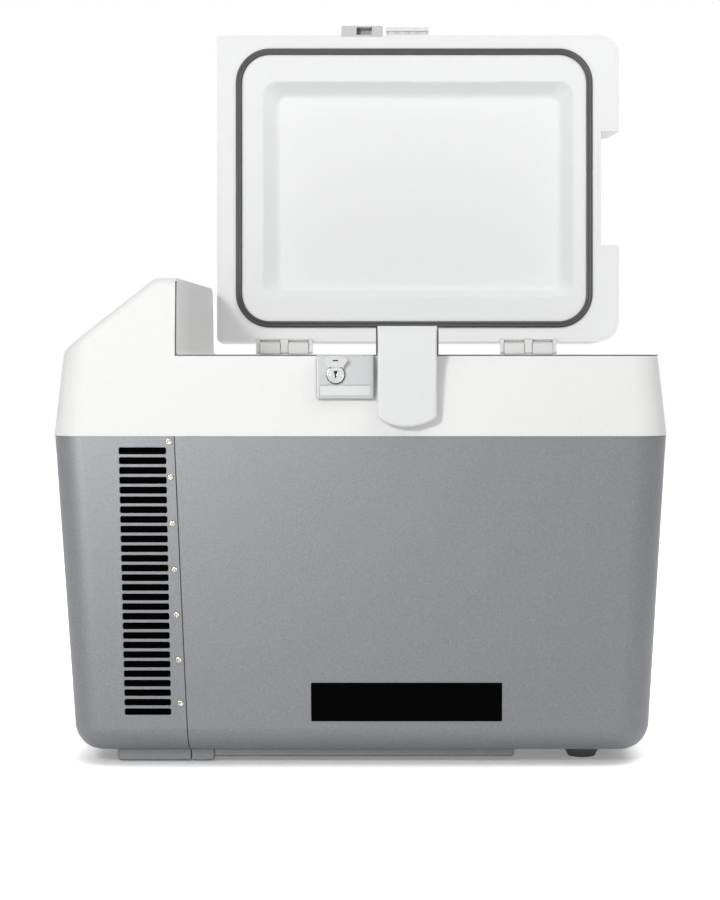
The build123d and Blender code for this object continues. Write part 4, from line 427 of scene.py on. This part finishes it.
def ring_bead():
    """The bead's surface: at turn a its width is BEAD_WIDE (0.5 + 0.5 cos(a - a_low)) ^ 0.7 plus its
    least width, and across that width it bulges forward as a half sine. Its back is flat."""
    turn = np.linspace(0, 2 * math.pi, BEAD_STEPS, endpoint=False)[:, None]
    part = np.linspace(0, 1, BEAD_ACROSS_STEPS)[None, :]
    wide = BEAD_LEAST + BEAD_WIDE * (0.5 + 0.5 * np.cos(turn - BEAD_LOW_TURN)) ** 0.7
    radius = BEAD_R - wide * part
    y = FLANGE_Y + SEATED - BEAD_PROUD * np.sin(math.pi * part) * (wide / BEAD_WIDE)
    x, z = LOCK_X + radius * np.cos(turn), LOCK_Z + radius * np.sin(turn)
    return np.stack(np.broadcast_arrays(x, y, z), -1)


def rounded_outline(x0, x1, z0, z1, radius, steps):
    """A rounded rectangle, counter-clockwise from the front: each corner's centre plus radius times
    (cos a, sin a)."""
    corners = np.array([[x1 - radius, z1 - radius], [x0 + radius, z1 - radius],
                        [x0 + radius, z0 + radius], [x1 - radius, z0 + radius]])
    turn = np.arange(4)[:, None] * math.pi / 2 + np.linspace(0, math.pi / 2, steps + 1)
    arcs = corners[:, None, :] + radius * np.stack([np.cos(turn), np.sin(turn)], -1)
    return arcs.reshape(-1, 2)


def flat_pad(name, outline, y_back, thick, body, material):
    """A thin pad: an outline (x, z), counter-clockwise from the front, at y_back, which is a number or
    one value for each point, given a thickness forwards."""
    count = len(outline)
    back = np.column_stack([outline[:, 0], np.broadcast_to(y_back, count), outline[:, 1]])
    ring = np.arange(count)
    after = (ring + 1) % count
    sides = np.stack([ring, after, after + count, ring + count], 1).tolist()
    ends = [list(range(count))[::-1], list(range(count, 2 * count))]
    put_mesh(name, np.concatenate([back, back - [0, thick, 0]]), sides + ends, body, material, smooth=False)


# Satin-painted zinc casting: plain light grey, with softened edges that catch a fine line.
lock_casting = moulded("lock_box_casting", "#C0C1C2", "#C7C8C9", 1.2, 0.012, 0.42, edge_mm=0.4)
dress(lock_casting, "lock_housing")
# Bright nickel: a clean mirror-like face with dark edges, drawn in by its surroundings.
nickel = plated("nickel_plate", "#CDCECF", 0.16)
dress(nickel, "lock_barrel", "lock_plug", "shutter_pin")
# Lacquered pressing: paler than the box, with a satin shine.
shutter_lacquer = moulded("shutter_satin_lacquer", "#DCDDDE", "#E4E5E6", 1.2, 0.01, 0.34, edge_mm=0.2)
dress(shutter_lacquer, "lock_shutter")
# Painted strike plate: the box's grey in a flatter paint.
strike_paint = moulded("strike_satin_paint", "#C4C5C6", "#CFD0D1", 1.2, 0.012, 0.45, edge_mm=0.3, gloss=0.3)
dress(strike_paint, "lock_strike")
dress(zinc, "lock_hook")

# Dead black for painted shade: the dark at the flange's edge, in the keyhole and in the shutter's slot.
lock_shade_black = moulded("lock_painted_shade_black", "#0B0B0C", "#121213", 0.8, 0.01, 0.6, edge_mm=0.1, gloss=0.2)
# Painted shadow: a black ring on the flange's edge, widest at the bottom.
bead_quads = grid_faces(BEAD_STEPS, BEAD_ACROSS_STEPS, rows_close=True)[:, ::-1].tolist()
put_mesh("lock_flange_shade_ring", ring_bead(), bead_quads, "body", lock_shade_black)
foot_turn = math.asin(KEYHOLE_FOOT / 2 / KEYHOLE_ROUND)
arch = np.linspace(-foot_turn, math.pi + foot_turn, num=25)
foot_x, foot_z = np.array([-KEYHOLE_FOOT, KEYHOLE_FOOT]) / 2, [-KEYHOLE_BOTTOM, -KEYHOLE_BOTTOM]
keyhole_rim = np.stack([
    LOCK_X + np.concatenate([foot_x, KEYHOLE_ROUND * np.cos(arch)]),
    LOCK_Z + np.concatenate([foot_z, KEYHOLE_TOP - KEYHOLE_ROUND + KEYHOLE_ROUND * np.sin(arch)])], 1)
# Painted shade: a black pad inside the keyhole.
flat_pad("keyhole_painted_shade", keyhole_rim, FLANGE_Y + FLAP_BEHIND, FLAP_THICK, "lock_cylinder", lock_shade_black)
# Matt film in the name recess, left bare: a flat, pale strip without a highlight.
strip_film = moulded("strip_matt_film", "#DEDFE0", "#E3E4E5", 1.0, 0.004, 0.5, edge_mm=0.1, gloss=0.1)
flat_pad("bare_name_strip", rounded_outline(*STRIP_SPAN, STRIP_CORNER, steps=3), BOX_Y + STRIP_BEHIND,
         STRIP_THICK, "body", strip_film)
# Painted shade: a black pad behind the raised shutter's slot.
slot_shade_rim = rounded_outline(LOCK_X - SLOT_SHADE_WIDE / 2, LOCK_X + SLOT_SHADE_WIDE / 2, SLOT_SHADE_Z - SLOT_SHADE_TALL / 2,
                           SLOT_SHADE_Z + SLOT_SHADE_TALL / 2, SLOT_SHADE_CORNER, steps=6)
flat_pad("shutter_slot_painted_shade", slot_shade_rim, BOX_Y + SLOT_SHADE_SUNK, SLOT_SHADE_THICK, "body", lock_shade_black)


# ---- Draw latch ----------------------------------------------------------------------------------
# A white ABS flap that turns on a steel pin in its bracket and hooks over the catch on the lid. Thin
# dark plates stand at its two sides.

# The flap's ABS: a cooler, slightly darker and shinier white than the housing behind it.
latch_abs = moulded("latch_cool_white_abs", "#DDE0DF", "#E2E5E4", WHITE_GRAIN_MM, WHITE_DEPTH_MM, 0.45,
                    gloss=0.2)
dress(latch_abs, "latch_flap")
dress(white_abs, "latch_catch")
dress(zinc, "latch_bracket", "latch_pin")
# Dark plates: two thin dark lines beside the flap.
black_plate = moulded("dark_side_plate", "#17171A", "#1F1F23", 2.0, 0.01, 0.42)
dress(black_plate, "latch_side_plates")


# ---- Control panel -------------------------------------------------------------------------------
# A black ABS panel let into the hump's slope, with a smoked display window, four rubber keys pushed
# through it, and the circuit board on posts behind.

# Textured black ABS: charcoal rather than black, with a satin face.
panel_black = moulded("panel_black_abs", "#202124", "#292A2E", 1.0, 0.02, 0.36)
dress(panel_black, "control_panel")
# Smoked acrylic: the smoothest and darkest face of the panel; its drift of colour is very slow.
lens = moulded("smoked_display_lens", "#0B0C10", "#101218", 30.0, 0.0, 0.10, edge_mm=0.2)
dress(lens, "display_window")
# Silicone keys: mid-grey and matt.
key_rubber = moulded("key_rubber", "#55585E", "#62656B", 0.8, 0.02, 0.55)
dress(key_rubber, "button_power", "button_set", "button_down", "button_up")
# Solder-masked board: bottle green and half glossy.
board = moulded("green_circuit_board", "#1E5A38", "#2A6B45", 3.0, 0.02, 0.40)
dress(board, "display_board")


# ---- Power inlets --------------------------------------------------------------------------------
# Two black ABS inlets with two brass pins each, snapped into the cover low on its left end, one for
# the mains and one for a vehicle's low voltage.

dress(panel_black, "ac_inlet", "dc_inlet")
# Turned brass: warm yellow points of light inside the black mouths.
brass = plated("inlet_pin_brass", "#C9A560", 0.28)
dress(brass, "inlet_pins")


# ---- Painted shade behind the louvres ------------------------------------------------------------
# A black sheet against the inside of the cover's front and back walls, where the shade inside the cover
# is painted, so that the louvres read as even black from end to end.
SHADE_SHEET_LEFT, SHADE_SHEET_RIGHT, SHADE_SHEET_LOW, SHADE_SHEET_HIGH = -230.0, -178.6, 48.0, 312.5
SHADE_SHEET_BEHIND, SHADE_SHEET_THICK = 3.04, 0.18       # behind the wall's outer face


def wall_y(z, side, behind=0.0):
    """The front (side -1) or back (side 1) wall's Y at a height, y = middle + side (half depth - draft
    (belt - z) - behind), where behind is a distance into the body."""
    return MIDDLE_Y + side * (BELT_HALF_DEPTH - WALL_DRAFT * (BELT_Z - z) - behind)


# Painted shade: a black that takes in all the light, so that only the louvres' edges show.
louvre_shade_black = moulded("louvre_painted_shade_black", "#020202", "#040404", 1.5, 0.05, 0.9, edge_mm=0.1, gloss=0.01)
shade_sheet_rim = np.array([[SHADE_SHEET_LEFT, SHADE_SHEET_LOW], [SHADE_SHEET_RIGHT, SHADE_SHEET_LOW],
                       [SHADE_SHEET_RIGHT, SHADE_SHEET_HIGH], [SHADE_SHEET_LEFT, SHADE_SHEET_HIGH]])
flat_pad("front_louvre_painted_shade", shade_sheet_rim, wall_y(shade_sheet_rim[:, 1], -1, SHADE_SHEET_BEHIND + SHADE_SHEET_THICK),
         SHADE_SHEET_THICK, "body", louvre_shade_black)
flat_pad("back_louvre_painted_shade", shade_sheet_rim, wall_y(shade_sheet_rim[:, 1], 1, SHADE_SHEET_BEHIND),
         SHADE_SHEET_THICK, "body", louvre_shade_black)


# ---- Cooling unit --------------------------------------------------------------------------------
# Behind the louvres: an enamelled compressor on grommets, a finned condenser with its fan on a folded
# bracket, the control unit, the copper drier, and the sheet evaporator wrapped round the liner.

# Stoved black enamel: a smooth shell with one long highlight.
enamel = moulded("compressor_enamel", "#141416", "#1C1C20", 6.0, 0.03, 0.28, edge_mm=0.5)
dress(enamel, "compressor")
# Black coating on thin fins: dull and nearly without a highlight.
fin_black = moulded("black_coated_fins", "#0C0C0D", "#121214", 2.0, 0.01, 0.6, edge_mm=0.2, gloss=0.2)
dress(fin_black, "condenser", "fan_shroud")
# Rolled aluminium sheet: a soft grey metal.
aluminium = plated("evaporator_aluminium", "#9A9DA2", 0.40)
dress(aluminium, "evaporator_sheet")
# Drawn copper tube: reddish, dulled by handling.
copper = plated("drier_copper", "#B9714F", 0.30)
dress(copper, "filter_drier")
dress(zinc, "base_plate")
dress(panel_black, "fan_frame", "fan_rotor", "control_module")


# ---- Label plate ---------------------------------------------------------------------------------
# A bare black vinyl plate, 0.3 mm thick with slightly rounded corners, stuck to the front of the tub
# so that it leans with the wall.
LABEL_SPAN = (-47.8, 134.7, 45.3, 83.0)        # X and Z
LABEL_THICK = 0.3
LABEL_CORNER = 1.2
GLUE_SUNK = 0.02                               # how far its back lies inside the wall's face

# Matt black vinyl: a flat, dead black against the sparkling grey.
vinyl = moulded("black_vinyl", "#020203", "#040405", 3.0, 0.004, 0.7, edge_mm=0.1, gloss=0.01)
label_rim = rounded_outline(*LABEL_SPAN, LABEL_CORNER, steps=6)
flat_pad("label_plate", label_rim, wall_y(label_rim[:, 1], -1, GLUE_SUNK), LABEL_THICK, "body", vinyl)


# ---- Stage: floor, lamps, camera -----------------------------------------------------------------
# A white sweep that runs on into a white surround, a small key lamp at the left, soft lamps at both
# sides, high in front and behind, and a card at the left that shows only as sheen on satin faces.
FLOOR_HALF = 6.0            # metres
CONTACT_MM = 50.0           # how far the painted shadow under the body reaches over the floor
CONTACT_OPEN = (0.35, 0.8)  # openness of the floor at which the painted shadow is deepest, and at which it ends
CONTACT_DEPTH, CONTACT_FALL = 0.52, 2.3        # the deepest painted shadow, and how fast it comes
SWEEP_GLOW = 0.2            # painted glow: light the floor gives off onto the object, for an over-lit sweep's bounce
SURROUND_LIGHT = 0.26       # light from all round on the object; the camera sees white


def rays_that_see_white(tree):
    """1 for rays from the camera and for reflected and refracted ones, so that metal and glass show the
    white too, and 0 for the light that falls on the object."""
    rays = add(tree, "ShaderNodeLightPath")
    direct = add(tree, "ShaderNodeMath", {
        0: rays.outputs["Is Camera Ray"], 1: rays.outputs["Is Glossy Ray"]}, operation="MAXIMUM")
    return add(tree, "ShaderNodeMath", {
        0: direct.outputs[0], 1: rays.outputs["Is Transmission Ray"]}, operation="MAXIMUM").outputs[0]


def floor_surface(tree, place):
    """White card that glows white to the camera and weakly to the object; near the body its glow is taken
    down, which paints the body's shadow.
    """
    # Painted shadow: the floor's glow falls with ambient occlusion near the body.
    open_sky = add(tree, "ShaderNodeAmbientOcclusion", {"Distance": CONTACT_MM * MM}, samples=8)
    reach = add(tree, "ShaderNodeMapRange", {
        "Value": open_sky.outputs["AO"], "From Min": CONTACT_OPEN[0], "From Max": CONTACT_OPEN[1],
        "To Min": CONTACT_DEPTH})
    clear = add(tree, "ShaderNodeMath", {0: reach.outputs["Result"], 1: CONTACT_FALL}, operation="POWER")
    glow = add(tree, "ShaderNodeMapRange", {
        "Value": rays_that_see_white(tree), "To Min": SWEEP_GLOW, "To Max": 1.0})
    strength = add(tree, "ShaderNodeMath", {0: clear.outputs[0], 1: glow.outputs["Result"]},
                   operation="MULTIPLY")
    matt = add(tree, "ShaderNodeBsdfDiffuse", {"Color": paint("#F0F0F0")})
    white = add(tree, "ShaderNodeEmission", {"Color": paint("#FFFFFF"), "Strength": strength.outputs[0]})
    return add(tree, "ShaderNodeAddShader", {0: matt.outputs[0], 1: white.outputs[0]}).outputs[0]


floor_mesh = bpy.data.meshes.new("floor")
floor_corners = [(x * FLOOR_HALF, y * FLOOR_HALF, 0) for x, y in ((-1, -1), (1, -1), (1, 1), (-1, 1))]
floor_mesh.from_pydata(floor_corners, [], [(0, 1, 2, 3)])
floor_mesh.materials.append(new_material("white_floor", floor_surface))
floor = bpy.data.objects.new("floor", floor_mesh)
bpy.context.scene.collection.objects.link(floor)

world = bpy.data.worlds.new("surround")
bpy.context.scene.world = world
world.use_nodes = True
sky = world.node_tree
sky.nodes.clear()
level = add(sky, "ShaderNodeMapRange", {
    "Value": rays_that_see_white(sky), "To Min": SURROUND_LIGHT, "To Max": 1.0})
backdrop = add(sky, "ShaderNodeBackground", {
    "Color": paint("#FFFFFF"), "Strength": level.outputs["Result"]})
add(sky, "ShaderNodeOutputWorld", {"Surface": backdrop.outputs[0]})

BODY_MIDDLE = Vector((0.0, -0.15, 0.4))


def lamp(name, azimuth, elevation, distance, size, watts):
    """A square area lamp that faces the body's middle, at a bearing from the front (left is negative),
    a height angle and a distance: middle + distance (sin a cos e, -cos a cos e, sin e)."""
    light = bpy.data.lights.new(name, "AREA")
    light.shape = "SQUARE"
    light.size = size
    light.energy = watts
    a, e = math.radians(azimuth), math.radians(elevation)
    away = Vector((math.sin(a) * math.cos(e), -math.cos(a) * math.cos(e), math.sin(e)))
    holder = bpy.data.objects.new(name, light)
    holder.location = BODY_MIDDLE + distance * away
    holder.rotation_euler = (BODY_MIDDLE - holder.location).to_track_quat("-Z", "Y").to_euler()
    bpy.context.scene.collection.objects.link(holder)
    return holder


# Bearing and height angle in degrees, distance and size in metres, power in watts. The lamps are at a
# level at which a colour renders about as it is written.
lamp("key", -24, 20, 1.7, 0.3, 11.8)
lamp("left_softbox", -55, 15, 3.0, 1.5, 4)
lamp("right_softbox", 60, 48, 1.35, 0.6, 4.8)
lamp("high_front", 0, 55, 1.6, 0.8, 2.7)
lamp("rear_softbox", 150, 30, 2.6, 1.4, 24)
lamp("sheen_card", -28, 5, 1.6, 0.5, 30.0).visible_diffuse = False

CAMERA_X, CAMERA_Z = 0.0582, 0.3966
CAMERA_AWAY = 2.0735        # metres in front of the body's middle
CAMERA_DOWN = 4.3           # degrees that it looks down
camera = bpy.data.cameras.new("camera")
camera.lens = 80.84
camera.sensor_width = 36.0
camera.shift_x = -0.0689
camera.shift_y = 0.0611
camera_holder = bpy.data.objects.new("camera", camera)
camera_holder.location = (CAMERA_X, MIDDLE_Y * MM - CAMERA_AWAY, CAMERA_Z)
camera_holder.rotation_euler = (math.radians(90 - CAMERA_DOWN), 0, 0)
bpy.context.scene.collection.objects.link(camera_holder)
bpy.context.scene.camera = camera_holder
bpy.context.scene.view_settings.view_transform = "Standard"
